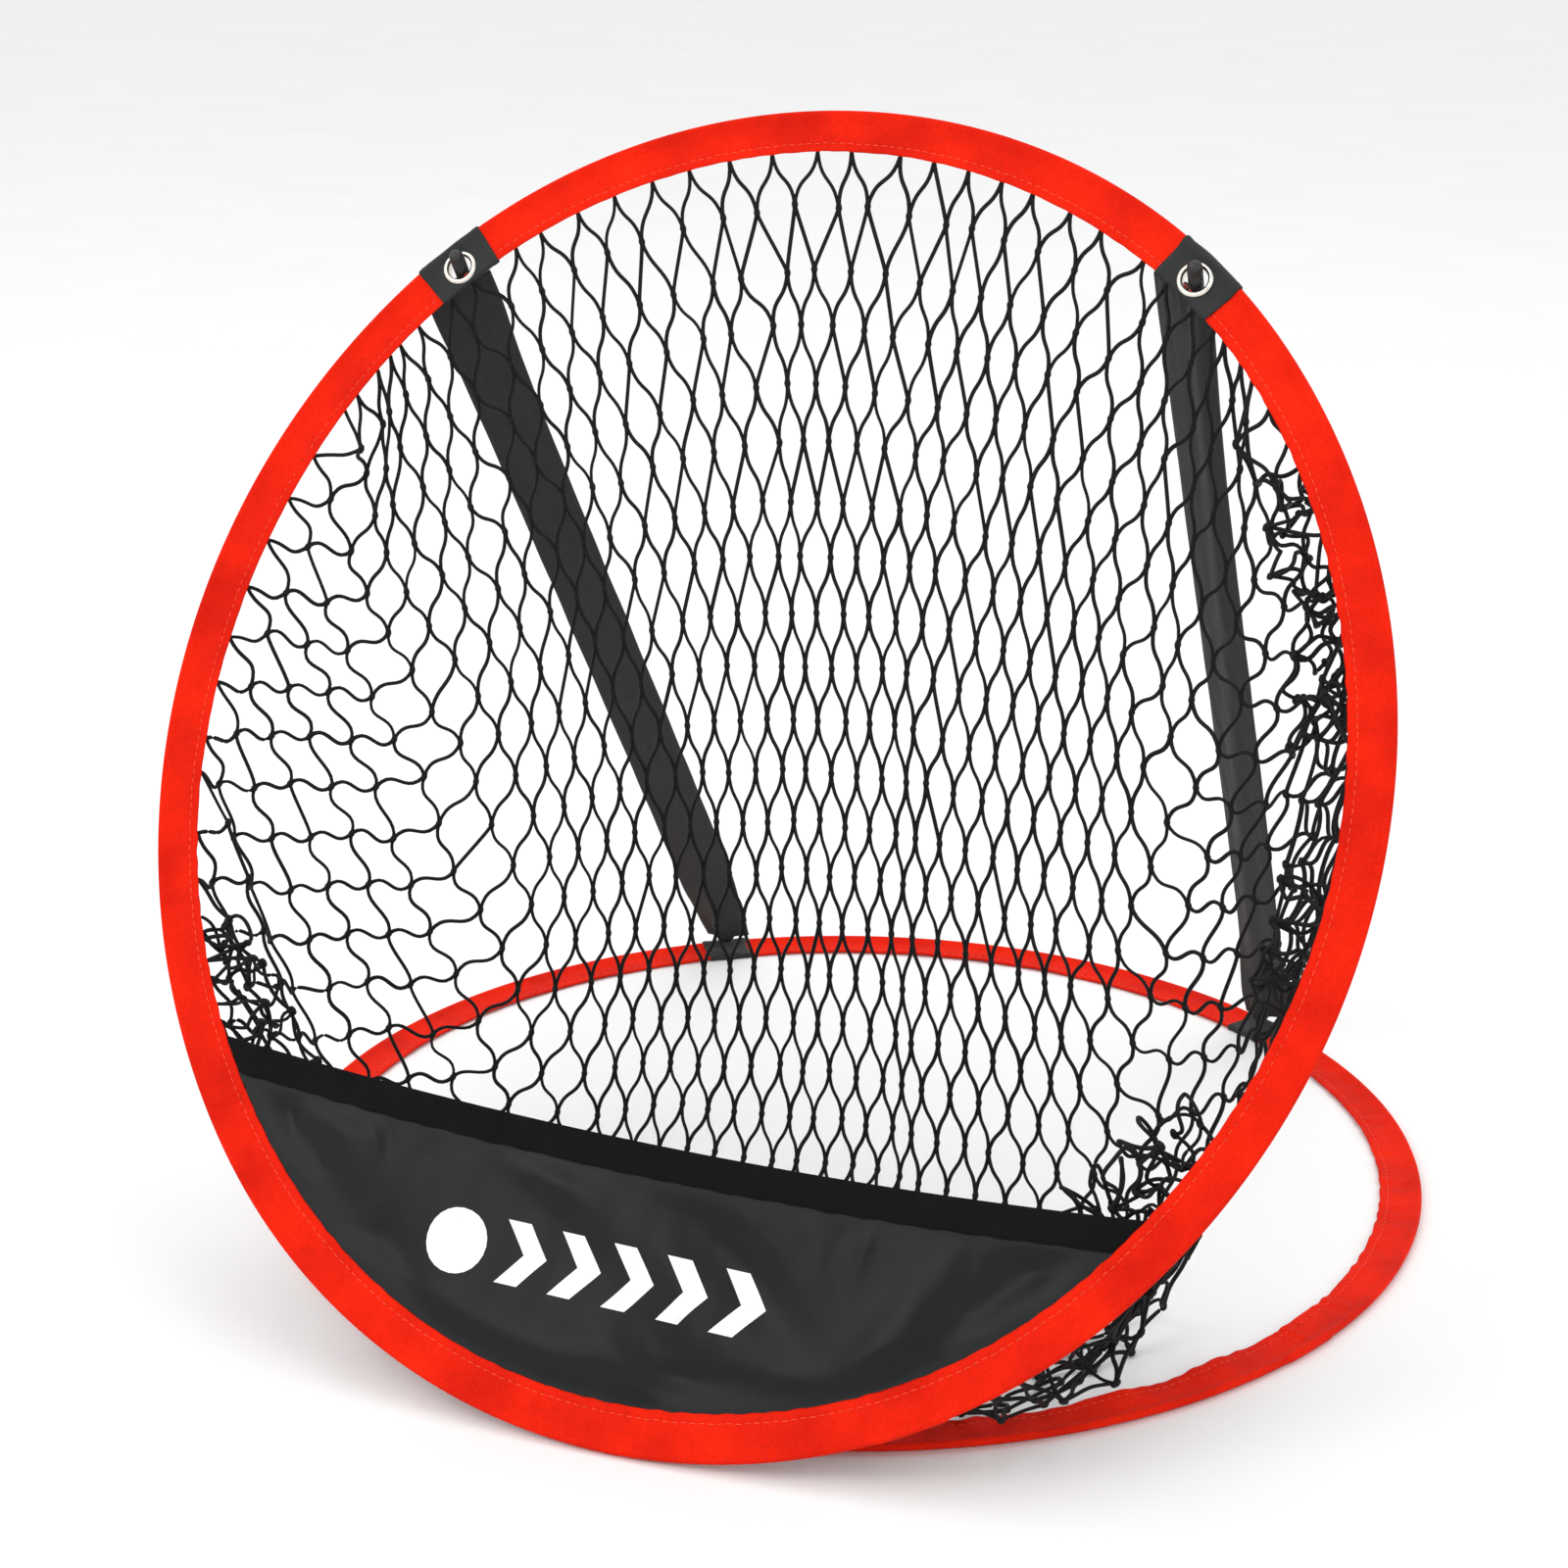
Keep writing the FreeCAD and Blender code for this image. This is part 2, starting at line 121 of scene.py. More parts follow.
def smooth_noise(t, waves, seed, low=1, high=12):
    """A closed random curve over t in 0..1, about -1 to 1."""
    rng = np.random.default_rng(seed)
    total = np.zeros_like(t)
    for k in range(waves):
        f = int(rng.integers(low, high + 1))
        total += rng.normal() * np.sin(2 * math.pi * (f * t + rng.random()))
    return total / math.sqrt(waves)


# Meshes

def in_scene(name, data):
    made = bpy.data.objects.new(name, data)
    bpy.context.scene.collection.objects.link(made)
    return made


def new_mesh(name, points, faces, material, uv=None, smooth=True):
    """A mesh object in the scene; uv holds one place on the cloth, in metres, for each point."""
    mesh = bpy.data.meshes.new(name)
    corners = [tuple(point) for point in np.asarray(points).reshape(-1, 3)]
    mesh.from_pydata(corners, [], [tuple(int(k) for k in face) for face in faces])
    mesh.materials.append(material)
    if uv is not None:
        layer = mesh.uv_layers.new(name="cloth")
        loops = np.zeros(len(mesh.loops), np.int32)
        mesh.loops.foreach_get("vertex_index", loops)
        layer.data.foreach_set("uv", np.asarray(uv, np.float32).reshape(-1, 2)[loops].ravel())
    mesh.polygons.foreach_set("use_smooth", [smooth] * len(mesh.polygons))
    mesh.update()
    return in_scene(name, mesh)


def grid_faces(rows, columns, wrap_rows=False, wrap_columns=False):
    """Four-sided faces between the points of a grid, closed on itself where it wraps."""
    r = np.arange(rows if wrap_rows else rows - 1)
    c = np.arange(columns if wrap_columns else columns - 1)
    R, C = np.meshgrid(r, c, indexing="ij")
    R1, C1 = (R + 1) % rows * columns, (C + 1) % columns
    R = R * columns
    return np.stack([R + C, R + C1, R1 + C1, R1 + C], -1).reshape(-1, 4)


def size(x):
    return np.sqrt((x * x).sum(-1))


def unit(x):
    return x / (size(x) + 1e-9)[..., None]


def circle(count):
    """Angles evenly round a circle."""
    return np.linspace(0, 2 * math.pi, count, endpoint=False)


def bell(x, reach):
    """1 in the middle, falling off softly over this reach."""
    return np.exp(-(x / reach) ** 2)


def run_length(points):
    """Length along a line of points, from its first point to each."""
    return np.concatenate([[0], np.cumsum(size(np.diff(points, axis=0)))])


def around(axes, ring):
    """Unit vectors square to each axis and evenly round it."""
    helper = np.where(np.abs(axes[..., 1:2]) < 0.9, np.array([0.0, 1.0, 0.0]), np.array([1.0, 0.0, 0.0]))
    first = unit(np.cross(axes, helper))
    second = np.cross(axes, first)
    angle = circle(ring)[:, None]
    return first[..., None, :] * np.cos(angle) + second[..., None, :] * np.sin(angle)


def many_tubes(points, rings, ring):
    """Points in one list and the faces of every tube of these rings."""
    one = grid_faces(rings, ring, wrap_columns=True)
    faces = (one[None] + (np.arange(len(points)) * rings * ring)[:, None, None]).reshape(-1, 4)
    return points.reshape(-1, 3), faces


def tubes(curves, radius, ring):
    """Round tubes along curves (count, samples, 3); radius is (count, samples)."""
    tangent = unit(np.gradient(curves, axis=1))
    points = curves[:, :, None] + around(tangent, ring) * radius[:, :, None, None]
    return many_tubes(points, curves.shape[1], ring)


def ellipsoids(centres, axes, along, across, rings=5, ring=7):
    """Small knots: centres (n, 3), long along axes."""
    lat = np.linspace(-0.49 * math.pi, 0.49 * math.pi, rings)
    points = (centres[:, None, None] + axes[:, None, None] * (np.sin(lat) * along)[None, :, None, None]
              + around(axes, ring)[:, None] * (np.cos(lat) * across)[None, :, None, None])
    return many_tubes(points, rings, ring)


def recalc(piece):
    """Turns the faces of a closed piece outward."""
    bm = bmesh.new()
    bm.from_mesh(piece.data)
    bmesh.ops.recalc_face_normals(bm, faces=bm.faces)
    bm.to_mesh(piece.data)
    bm.free()


# Materials

class Nodes:
    """Short names for building one material's nodes."""

    def __init__(self, name):
        self.material = bpy.data.materials.new(name)
        self.material.use_nodes = True
        self.tree = self.material.node_tree
        self.shader = self.tree.nodes["Principled BSDF"]

    def node(self, kind, **inputs):
        made = self.tree.nodes.new(kind)
        for key, value in inputs.items():
            self.put(made.inputs[key], value)
        return made

    def put(self, socket, value):
        if isinstance(value, bpy.types.NodeSocket):
            self.tree.links.new(value, socket)
        else:
            socket.default_value = value

    def math(self, operation, a, b=0.0):
        made = self.tree.nodes.new("ShaderNodeMath")
        made.operation = operation
        self.put(made.inputs[0], a)
        self.put(made.inputs[1], b)
        return made.outputs[0]

    def coordinates(self, kind):
        return self.tree.nodes.new("ShaderNodeTexCoord").outputs[kind]

    def noise(self, scale, detail):
        made = self.node("ShaderNodeTexNoise", Scale=scale, Detail=detail, Vector=self.coordinates("Object"))
        return made.outputs["Fac"]

    def ramp(self, factor, stops):
        made = self.node("ShaderNodeValToRGB", Fac=factor)
        ramp = made.color_ramp
        while len(ramp.elements) < len(stops):
            ramp.elements.new(0.5)
        for element, (position, colour) in zip(ramp.elements, stops):
            element.position = position
            element.color = (*colour, 1.0)
        return made.outputs["Color"]

    def multiply(self, a, b):
        """Product of two colours, by the colour sockets of a mix node."""
        made = self.tree.nodes.new("ShaderNodeMix")
        made.data_type = "RGBA"
        made.blend_type = "MULTIPLY"
        self.put(made.inputs[0], 1.0)
        self.put(made.inputs[6], a)
        self.put(made.inputs[7], b)
        return made.outputs[2]

    def bump(self, height, strength, distance, under=None):
        made = self.node("ShaderNodeBump", Strength=strength, Distance=distance, Height=height)
        if under is not None:
            self.put(made.inputs["Normal"], under)
        return made.outputs["Normal"]

    def weave(self, pitch):
        """Over and under of a plain weave, from the cloth's own coordinates in metres."""
        uv = self.node("ShaderNodeSeparateXYZ", Vector=self.coordinates("UV"))
        along = self.math("SINE", self.math("MULTIPLY", uv.outputs[0], 2 * math.pi / pitch))
        across = self.math("SINE", self.math("MULTIPLY", uv.outputs[1], 2 * math.pi / pitch))
        return self.math("MULTIPLY", along, across)


def grey(value):
    return (value, value, value)


def surface(name, scale, tones, rough, specular, uneven, weave=None, sheen=(0.0, 0.5), metallic=0.0,
            worn=False):
    """Spots of colour and roughness at this scale, over an uneven (scale, detail, strength, depth) surface.

    A weave is (pitch, strength, depth), and sheen (weight, roughness).
    """
    m = Nodes(name)
    spots = m.noise(scale, 4.0)
    tone = m.ramp(spots, tones)
    if worn:
        tone = m.multiply(tone, m.ramp(m.noise(900.0, 2.0), [(0.35, grey(0.88)), (0.65, grey(1.0))]))
    normal = m.bump(m.noise(*uneven[:2]), *uneven[2:])
    if weave:
        normal = m.bump(m.weave(weave[0]), *weave[1:], normal)
    inputs = {
        "Base Color": tone, "Roughness": m.ramp(spots, [(0.3, grey(rough[0])), (0.7, grey(rough[1]))]),
        "Specular IOR Level": specular, "Sheen Weight": sheen[0], "Sheen Roughness": sheen[1],
        "Metallic": metallic, "Normal": normal,
    }
    for key, value in inputs.items():
        m.put(m.shader.inputs[key], value)
    return m.material


def black_fabric(name, pitch, dark, light, rough, specular, sheen):
    return surface(name, 60.0, [(0.3, dark), (0.7, light)], rough, specular, (220.0, 3.0, 0.4, 0.0006),
                   weave=(pitch, 0.45, 0.00025), sheen=(sheen, 0.45))


def plain(name, rough, dark, light, scale, bump, metallic=0.0, specular=0.5):
    uneven = (scale * 4, 3.0, bump, 0.0003)
    return surface(name, scale, [(0.35, dark), (0.65, light)], rough, specular, uneven, metallic=metallic)


HOOP_TONES = [(0.30, (0.62, 0.009, 0.001)), (0.55, (0.80, 0.015, 0.002)), (0.75, (0.88, 0.021, 0.003))]
PANEL_TONES = [(0.3, (0.0014, 0.0020, 0.0026)), (0.7, (0.0036, 0.0046, 0.0056))]
STRAP_TONES = (0.0150, 0.0176, 0.0164), (0.0235, 0.0270, 0.0252)
THREAD_TONES = (0.80, 0.050, 0.022), (0.92, 0.085, 0.040)
TWINE_TONES = (0.002, 0.002, 0.0022), (0.007, 0.007, 0.0075)
PRINT_TONES = (0.74, 0.75, 0.76), (0.86, 0.86, 0.86)
NICKEL_TONES = (0.72, 0.67, 0.58), (0.82, 0.79, 0.72)
STEEL_TONES = (0.25, 0.25, 0.26), (0.42, 0.42, 0.43)
MATERIAL = {
    "hoop": surface("hoop_fabric", 38.0, HOOP_TONES, (0.52, 0.68), 0.06, (160.0, 3.0, 0.35, 0.0008),
                    weave=(0.0009, 0.35, 0.0002), worn=True),
    "panel": surface("panel_fabric", 30.0, PANEL_TONES, (0.32, 0.44), 0.24, (70.0, 5.0, 0.25, 0.0010),
                     weave=(0.0007, 0.22, 0.00015), sheen=(0.01, 0.5)),
    "black": black_fabric("black_fabric", 0.0011, *STRAP_TONES, (0.48, 0.62), 0.24, 0.03),
    "hem": black_fabric("hem_tape", 0.0008, grey(0.002), grey(0.005), (0.78, 0.9), 0.12, 0.02),
    "thread": plain("red_thread", (0.45, 0.6), *THREAD_TONES, 900.0, 0.5, specular=0.3),
    "twine": plain("net_twine", (0.5, 0.68), *TWINE_TONES, 1400.0, 0.7, specular=0.2),
    "print": plain("graphic_white", (0.4, 0.55), *PRINT_TONES, 260.0, 0.4),
    "nickel": plain("nickel", (0.16, 0.3), *NICKEL_TONES, 400.0, 0.15, metallic=1.0),
    "cap": plain("cap_plastic", (0.35, 0.5), grey(0.010), grey(0.020), 300.0, 0.3),
    "steel": plain("spring_steel", (0.3, 0.45), *STEEL_TONES, 500.0, 0.2, metallic=1.0),
    "rod": plain("rod_fibreglass", (0.35, 0.5), grey(0.02), grey(0.04), 700.0, 0.3),
}


# Hoop sleeves

class Loop:
    """A closed flat outline sampled evenly by length, with inward normals."""

    def __init__(self, count, outline):
        fine = np.linspace(0, 2 * math.pi, 20001)
        p = outline(fine)
        length = run_length(p)
        self.length = length[-1]
        self.s = np.linspace(0, self.length, count, endpoint=False)
        angle = np.interp(self.s, length, fine)
        self.angle = angle
        self.p = outline(angle)
        ahead, behind = outline(angle + 1e-4), outline(angle - 1e-4)
        t = ahead - behind
        t /= size(t)[:, None]
        self.inward = np.stack([-t[:, 1], t[:, 0]], 1)
        self.t = self.s / self.length

    def at(self, values, s):
        """The loop's x and y values at this length along it."""
        return np.array([np.interp(s, self.s, values[:, k], period=self.length) for k in (0, 1)])


SHARES = np.array([0.0, 0.03, 0.07, 0.12, 0.18, 0.25, 0.33, 0.42, 0.51, 0.60,
                   0.68, 0.735, 0.77, 0.80, 0.83, 0.87, 0.92, 0.965, 1.0])
SEAM_ROW = 13
STITCH_PITCH = 0.0052
FERRULE_BULGE = 0.00045
FERRULE_REACH = 0.0150


def half_section(u, thickness):
    """Middle height and half thickness of the folded fabric at these shares of its width."""
    half = np.where(u < 0.1, NOSE * np.sqrt(np.maximum(1 - ((0.1 - u) / 0.1) ** 2, 0)),
                    NOSE + (thickness / 2 - NOSE) * np.clip((u - 0.1) / 0.22, 0, 1) ** 0.8)
    half = np.where(u > 0.96, half * np.sqrt(np.maximum(1 - ((u - 0.96) / 0.05) ** 2, 0.05)), half)
    middle = np.where(u < 0.32, NOSE * (1 - u / 0.32) + thickness / 2 * u / 0.32, thickness / 2)
    return middle, half


def hoop_sleeve(name, loop, place, thickness, width, ripple, lift, seams, seed, calm, ferrule):
    """Fabric folded round the wire and stitched near its inner edge, as one closed skin."""
    t, u = loop.t, SHARES
    count = len(t)
    middles, halves = half_section(u, thickness)
    groove = bell(u - u[SEAM_ROW], 0.028)
    inner_pucker = np.clip((u - 0.45) / 0.45, 0, 1) ** 1.5
    slow = smooth_noise(t, 7, seed, 2, 9)
    mid = smooth_noise(t, 12, seed + 1, 20, 60)
    quick = smooth_noise(t, 16, seed + 2, 90, 230)
    stitch_wave = 0.5 + 0.5 * np.sin(2 * math.pi * np.round(loop.length / STITCH_PITCH) * t)
    w = width * (1 + 0.016 * slow) + 0.00014 * quick
    from_ferrule = size(loop.p + loop.inward * NOSE - ferrule)
    bulge = FERRULE_BULGE * ease((FERRULE_REACH - from_ferrule) / 0.003)
    rows, uv, seam_rows = [], [], []
    for side in (1, -1):
        order = range(len(u)) if side == 1 else range(len(u) - 2, 0, -1)
        for k in order:
            half = halves[k] - groove[k] * (0.00022 + 0.00016 * stitch_wave) * (u[k] > 0.3)
            by_edge = np.clip(1 - abs(u[k] - 0.95) * 2, 0, 1)
            wave = calm * inner_pucker[k] * ripple * (0.55 * mid + 0.45 * quick * by_edge)
            crease = np.zeros(count)
            for where in seams:
                away = ((t - where + 0.5) % 1.0 - 0.5) * loop.length
                lap = 0.00040 * bell(away, 0.0011)
                dip = 0.00035 * bell(away - 0.0026, 0.0012)
                crease += lap - dip
            raised = half + crease * (u[k] > 0.17) + bulge * (u[k] < 0.26)
            puff = side * (raised + 0.00012 * quick * (0.2 < u[k] < 0.78))
            flat = loop.p + loop.inward * (u[k] * w - bulge * (1 - u[k]) * (u[k] < 0.12))[:, None]
            height = middles[k] + puff + wave + calm * lift(t) * u[k]
            if side < 0 and place is place_base:
                height = height + bulge
            rows.append(np.column_stack([flat, height]))
            uv.append(np.column_stack([loop.s, np.full(count, u[k] * width * side)]))
            if k == SEAM_ROW:
                seam_rows.append((side, rows[-1]))
    faces = grid_faces(len(rows), count, wrap_rows=True, wrap_columns=True)
    piece = new_mesh(name, place(np.array(rows)), faces, MATERIAL["hoop"], uv=np.array(uv))
    recalc(piece)
    return piece, seam_rows


THREAD_PITCH = 0.0034
THREAD_SHARES = np.array([0.0, 0.24, 0.48, 0.72])
THREAD_HEIGHTS = np.array([-0.0001, 0.0002, 0.0002, -0.0001])
THREAD_RADII = np.array([0.00010, 0.00021, 0.00021, 0.00010])


def stitch_row(path, side):
    """Curves of short threads along a closed line on a flat piece, each rising a little from the cloth."""
    whole = np.vstack([path, path[:1]])
    length = run_length(whole)
    count = int(length[-1] / THREAD_PITCH)
    s = (np.arange(count)[:, None] + THREAD_SHARES[None]) / count * length[-1]
    curve = np.stack([np.interp(s, length, whole[:, a]) for a in range(3)], -1)
    curve[..., 2] += side * THREAD_HEIGHTS
    return curve


def threads(name, seam_rows, place):
    """All the stitches of one hoop sleeve, front and back."""
    curves = np.vstack([stitch_row(row, side) for side, row in seam_rows])
    points, faces = tubes(curves, np.tile(THREAD_RADII, (len(curves), 1)), 6)
    piece = new_mesh(name, place(points), faces, MATERIAL["thread"])
    recalc(piece)
    return piece


def place_base(p):
    """Points (x, y, up) of the base hoop's band in the row's frame, never below the ground."""
    return np.stack([p[..., 0], p[..., 1], np.maximum(p[..., 2] + BASE_LIFT, 0.0)], -1)


def ring_outline(angle):
    return BASE_MIDDLE + BASE_RADIUS * np.stack([np.cos(angle), np.sin(angle)], -1)


TARGET_LOOP = Loop(1500, oval)
BASE_LOOP = Loop(1500, ring_outline)


def flat_lift(t):
    """The target band's inner edge hardly waves."""
    return 0.0002 * smooth_noise(t, 5, 77, 2, 7)


def base_lift(t):
    """The base band's inner edge waves where it bends hardest, and stays flat by the hinge and the struts."""
    angle = t * 2 * math.pi
    right = bell(angle - math.radians(320), 0.42)
    return right * (0.0012 + 0.0009 * np.sin(angle * 29)) + 0.0001 * smooth_noise(t, 5, 78, 3, 9)


def ride(piece, body, slot, *nodes):
    """Puts a piece on its body, in place of these nodes of the CAD; slot is not used."""
    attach(piece, body)
    if nodes:
        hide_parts(*nodes)


def apply_modifier(piece, change):
    """The piece's mesh as the modifier leaves it."""
    done = bpy.data.meshes.new_from_object(piece.evaluated_get(bpy.context.evaluated_depsgraph_get()))
    piece.modifiers.remove(change)
    piece.data = done


HOLE_RADIUS = 0.0051
HOLE_SIDES = 40


def punch(piece, places):
    """Round holes for the eyelets through a piece, square to the standing hoop."""
    angle = circle(HOLE_SIDES)
    ends = [list(range(HOLE_SIDES))[::-1], list(range(HOLE_SIDES, 2 * HOLE_SIDES))]
    faces = grid_faces(2, HOLE_SIDES, wrap_columns=True).tolist() + ends
    for x, y in places:
        ring = np.column_stack([x + HOLE_RADIUS * np.cos(angle), y + HOLE_RADIUS * np.sin(angle)])
        points = np.vstack([np.column_stack([ring, np.full(HOLE_SIDES, z)]) for z in (-0.01, 0.02)])
        cutter = new_mesh("cutter", stand_up(points), faces, piece.data.materials[0], smooth=False)
        recalc(cutter)
        change = piece.modifiers.new("hole", "BOOLEAN")
        change.operation = "DIFFERENCE"
        change.solver = "EXACT"
        change.object = cutter
        apply_modifier(piece, change)
        bpy.data.objects.remove(cutter)


def centre(node):
    low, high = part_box(node)
    return (np.array(low) + np.array(high)) / 2


EYELETS = [lie_down(centre(side + "_eyelet"))[:2] for side in ("left", "right")]

from_low_end = np.abs(np.degrees(np.mod(TARGET_LOOP.angle, 2 * math.pi)) - 270.0)
calm_by_panel = ease((from_low_end - 75.0) / 12.0)
target_sleeve, seam_rows = hoop_sleeve(
    "target_sleeve_fabric", TARGET_LOOP, stand_up, FLAT_THICKNESS, SLEEVE, 0.00035, flat_lift,
    (0.258, 0.728, 0.61), 5, calm_by_panel, lie_down(centre("target_wire_ferrule"))[:2])
punch(target_sleeve, EYELETS)
ride(target_sleeve, "target", "hoop_fabric", "target_hoop_sleeve")
ride(threads("target_sleeve_stitches", seam_rows, stand_up), "target", "hoop_fabric")

base_sleeve, seam_rows = hoop_sleeve(
    "base_sleeve_fabric", BASE_LOOP, place_base, FLAT_THICKNESS, SLEEVE, 0.00030, base_lift,
    (0.12, 0.93), 6, np.ones(len(BASE_LOOP.t)), centre("base_wire_ferrule")[:2])
ride(base_sleeve, "base", "hoop_fabric", "base_hoop_sleeve")
ride(threads("base_sleeve_stitches", seam_rows, place_base), "base", "hoop_fabric")


# Fabric wrapped round the hoops: tabs and anchors

WRAP_GAP = 0.00006


def fabric_wrap(name, loop, where, half_length, fabric, place, seed, holes=()):
    """A patch of black fabric round the sleeve, hollow, with turned ends and soft creases."""
    here = int(np.argmin(((loop.p - where) ** 2).sum(1)))
    rng = np.random.default_rng(seed)
    u = np.concatenate([SHARES[:7], np.linspace(0.40, 0.90, 14), [0.95, 0.985, 1.0]])
    middle, half = half_section(u, FLAT_THICKNESS)
    half = np.maximum(half, 0.0003)
    front, back = np.column_stack([u * SLEEVE, middle + half]), np.column_stack([u * SLEEVE, middle - half])
    profile = np.vstack([front, back[-2:0:-1]])
    tangent = unit(np.roll(profile, -1, 0) - np.roll(profile, 1, 0))
    outward = np.column_stack([-tangent[:, 1], tangent[:, 0]])
    if (outward[:, 0] * (profile[:, 0] - SLEEVE / 2)).sum() < 0:
        outward = -outward
    along = np.linspace(-half_length, half_length, 56)
    waves = []
    for _ in range(14):
        high = rng.normal(0, 0.00006)
        waves.append((high, rng.uniform(150, 520), rng.uniform(80, 420), rng.uniform(0, 6.3)))
    rows, uv = [], []
    for outer in (True, False):
        for a in (along if outer else along[::-1]):
            s = (loop.s[here] + a) % loop.length
            p, inward = loop.at(loop.p, s), loop.at(loop.inward, s)
            edge = np.clip((half_length - abs(a)) / 0.0028, 0, 1)
            crease = sum(h * np.sin(fa * a + fb * profile[:, 0] + ph) for h, fa, fb, ph in waves)
            if outer:
                thick = fabric * (1.0 + 0.25 * (edge < 0.98) - 0.55 * (1 - np.clip(edge * 4, 0, 1)) ** 2)
                q = profile + outward * (thick + crease * edge)[:, None]
            else:
                q = profile + outward * WRAP_GAP
            q[:, 1] = np.maximum(q[:, 1], -fabric)
            rows.append(np.column_stack([p[None] + inward[None] * q[:, :1], q[:, 1]]))
            uv.append(np.column_stack([np.full(len(q), a), q[:, 0] + 0.03 * (q[:, 1] < 0)]))
    faces = grid_faces(len(rows), len(profile), wrap_rows=True, wrap_columns=True)
    piece = new_mesh(name, place(np.array(rows)), faces, MATERIAL["black"], uv=np.array(uv))
    recalc(piece)
    punch(piece, holes)
    return piece


for k, side in enumerate(("left", "right")):
    tab_at = lie_down(centre(side + "_tab"))[:2]
    hole = EYELETS[k:k + 1]
    tab = fabric_wrap(side + "_tab_fabric", TARGET_LOOP, tab_at, 0.015, 0.0006, stand_up, 20 + k, hole)
    ride(tab, "target", "black_fabric", side + "_tab")
    wrap_at = centre(side + "_anchor_wrap")[:2]
    wrap = fabric_wrap(side + "_anchor_fabric", BASE_LOOP, wrap_at, 0.011, 0.0007, place_base, 30 + k)
    ride(wrap, "base", "black_fabric", side + "_anchor_wrap")


# Strut sleeves

STRUT_HALF_WIDTH = 0.0124
ROD_ROOM = 0.00255
FOOT_ROOM = 0.00185


def strut_sleeve(side, seed, foot_shift, top_shift):
    """A flat fabric tube round its rod, wider where it meets the tab and hung off-centre by the shifts."""
    rng = np.random.default_rng(seed)
    foot = np.array(JOINTS[side + "_strut_swing"]["pos_m"])
    top = centre(side + "_eyelet")
    length = np.linalg.norm(top - foot)
    along = (top - foot) / length
    level = unit(np.array([1.0, 0, 0]) - along * along[0])
    rows, ring = 260, 72
    z = np.linspace(0.0010, length - 0.0056, rows)
    t = (z - z[0]) / (z[-1] - z[0])
    inward = 1 if side == "left" else -1
    turn = np.radians(4.0 + 26.0 * ease((z - 0.012) / 0.045))[:, None, None] * inward
    across = level * np.cos(turn) + np.cross(along, level) * np.sin(turn)
    through = np.cross(along, across)
    angle = circle(ring)
    c, s = np.cos(angle), np.sin(angle)
    flare = 0.0018 * bell(1 - t, 0.12)
    half_width = STRUT_HALF_WIDTH + flare + 0.00015 * smooth_noise(t * 0.8, 8, seed, 3, 14)
    half_width *= 1 - 0.12 * bell(t, 0.02)
    x = np.sign(c) * np.abs(c) ** 0.7
    flat = np.sign(s) * np.abs(s) ** 0.5
    X = half_width[:, None] * x[None]
    off_rod = X + (foot_shift + (top_shift - foot_shift) * ease(t))[:, None]
    sway = 0.0006 * smooth_noise(t * 0.7, 5, seed + 1, 1, 4)[:, None]
    over_rod = bell(off_rod - sway, 0.0045)
    T, A = t[:, None], X / 0.01
    folds = np.zeros_like(X)
    for _ in range(22):
        f = rng.uniform(14, 70)
        lean = rng.normal(0, 4)
        height = rng.normal(0, 0.00007)
        wave = np.sin(f * T + lean * A + rng.uniform(0, 6.3))
        folds += height * wave * bell(T - rng.random(), rng.uniform(0.1, 0.4))
    for _ in range(8):
        at, wide = rng.uniform(-0.8, 0.8), rng.uniform(0.12, 0.24)
        height = rng.normal(0, 0.00022)
        bend = 0.25 * np.sin(rng.uniform(2, 7) * T + rng.uniform(0, 6))
        folds += height * bell(A - at - bend, wide) * (0.15 + 0.85 * T ** 3)
    gather = 0.00035 * np.sin(A * 13 + 2 * T) * bell(1 - T, 0.05)
    Y = flat[None] * (0.0012 + 0.0016 * over_rod)
    Y = Y + np.sign(flat)[None] * (folds + gather) * np.clip(1 - np.abs(x[None]) ** 4, 0, 1)
    room = ROD_ROOM + FOOT_ROOM * (1 - ease((z - 0.0105) / 0.008))[:, None]
    clear = np.sqrt(np.maximum(room ** 2 - off_rod ** 2, 0))
    Y = np.where(np.abs(Y) < clear, np.sign(flat)[None] * clear, Y)
    grid = foot + off_rod[..., None] * across + Y[..., None] * through + z[:, None, None] * along
    ends = [foot + z[0] * along, foot + z[-1] * along]
    points = np.vstack([grid.reshape(-1, 3), ends])
    faces = grid_faces(rows, ring, wrap_columns=True).tolist()
    last = rows * ring
    faces += [(last, (k + 1) % ring, k) for k in range(ring)]
    faces += [(last + 1, last - ring + k, last - ring + (k + 1) % ring) for k in range(ring)]
    cloth = np.stack([np.broadcast_to(z[:, None], X.shape), X + np.where(flat > 0, 0.05, 0)[None]], -1)
    uv = np.vstack([cloth.reshape(-1, 2), np.zeros((2, 2))])
    piece = new_mesh(side + "_strut_fabric", points, faces, MATERIAL["black"], uv=uv)
    recalc(piece)
    ride(piece, side + "_strut", "black_fabric", side + "_strut_sleeve")


strut_sleeve("left", 40, 0.0012, -0.0035)
strut_sleeve("right", 45, 0.0040, -0.0070)


# Strip that hinges the hoops

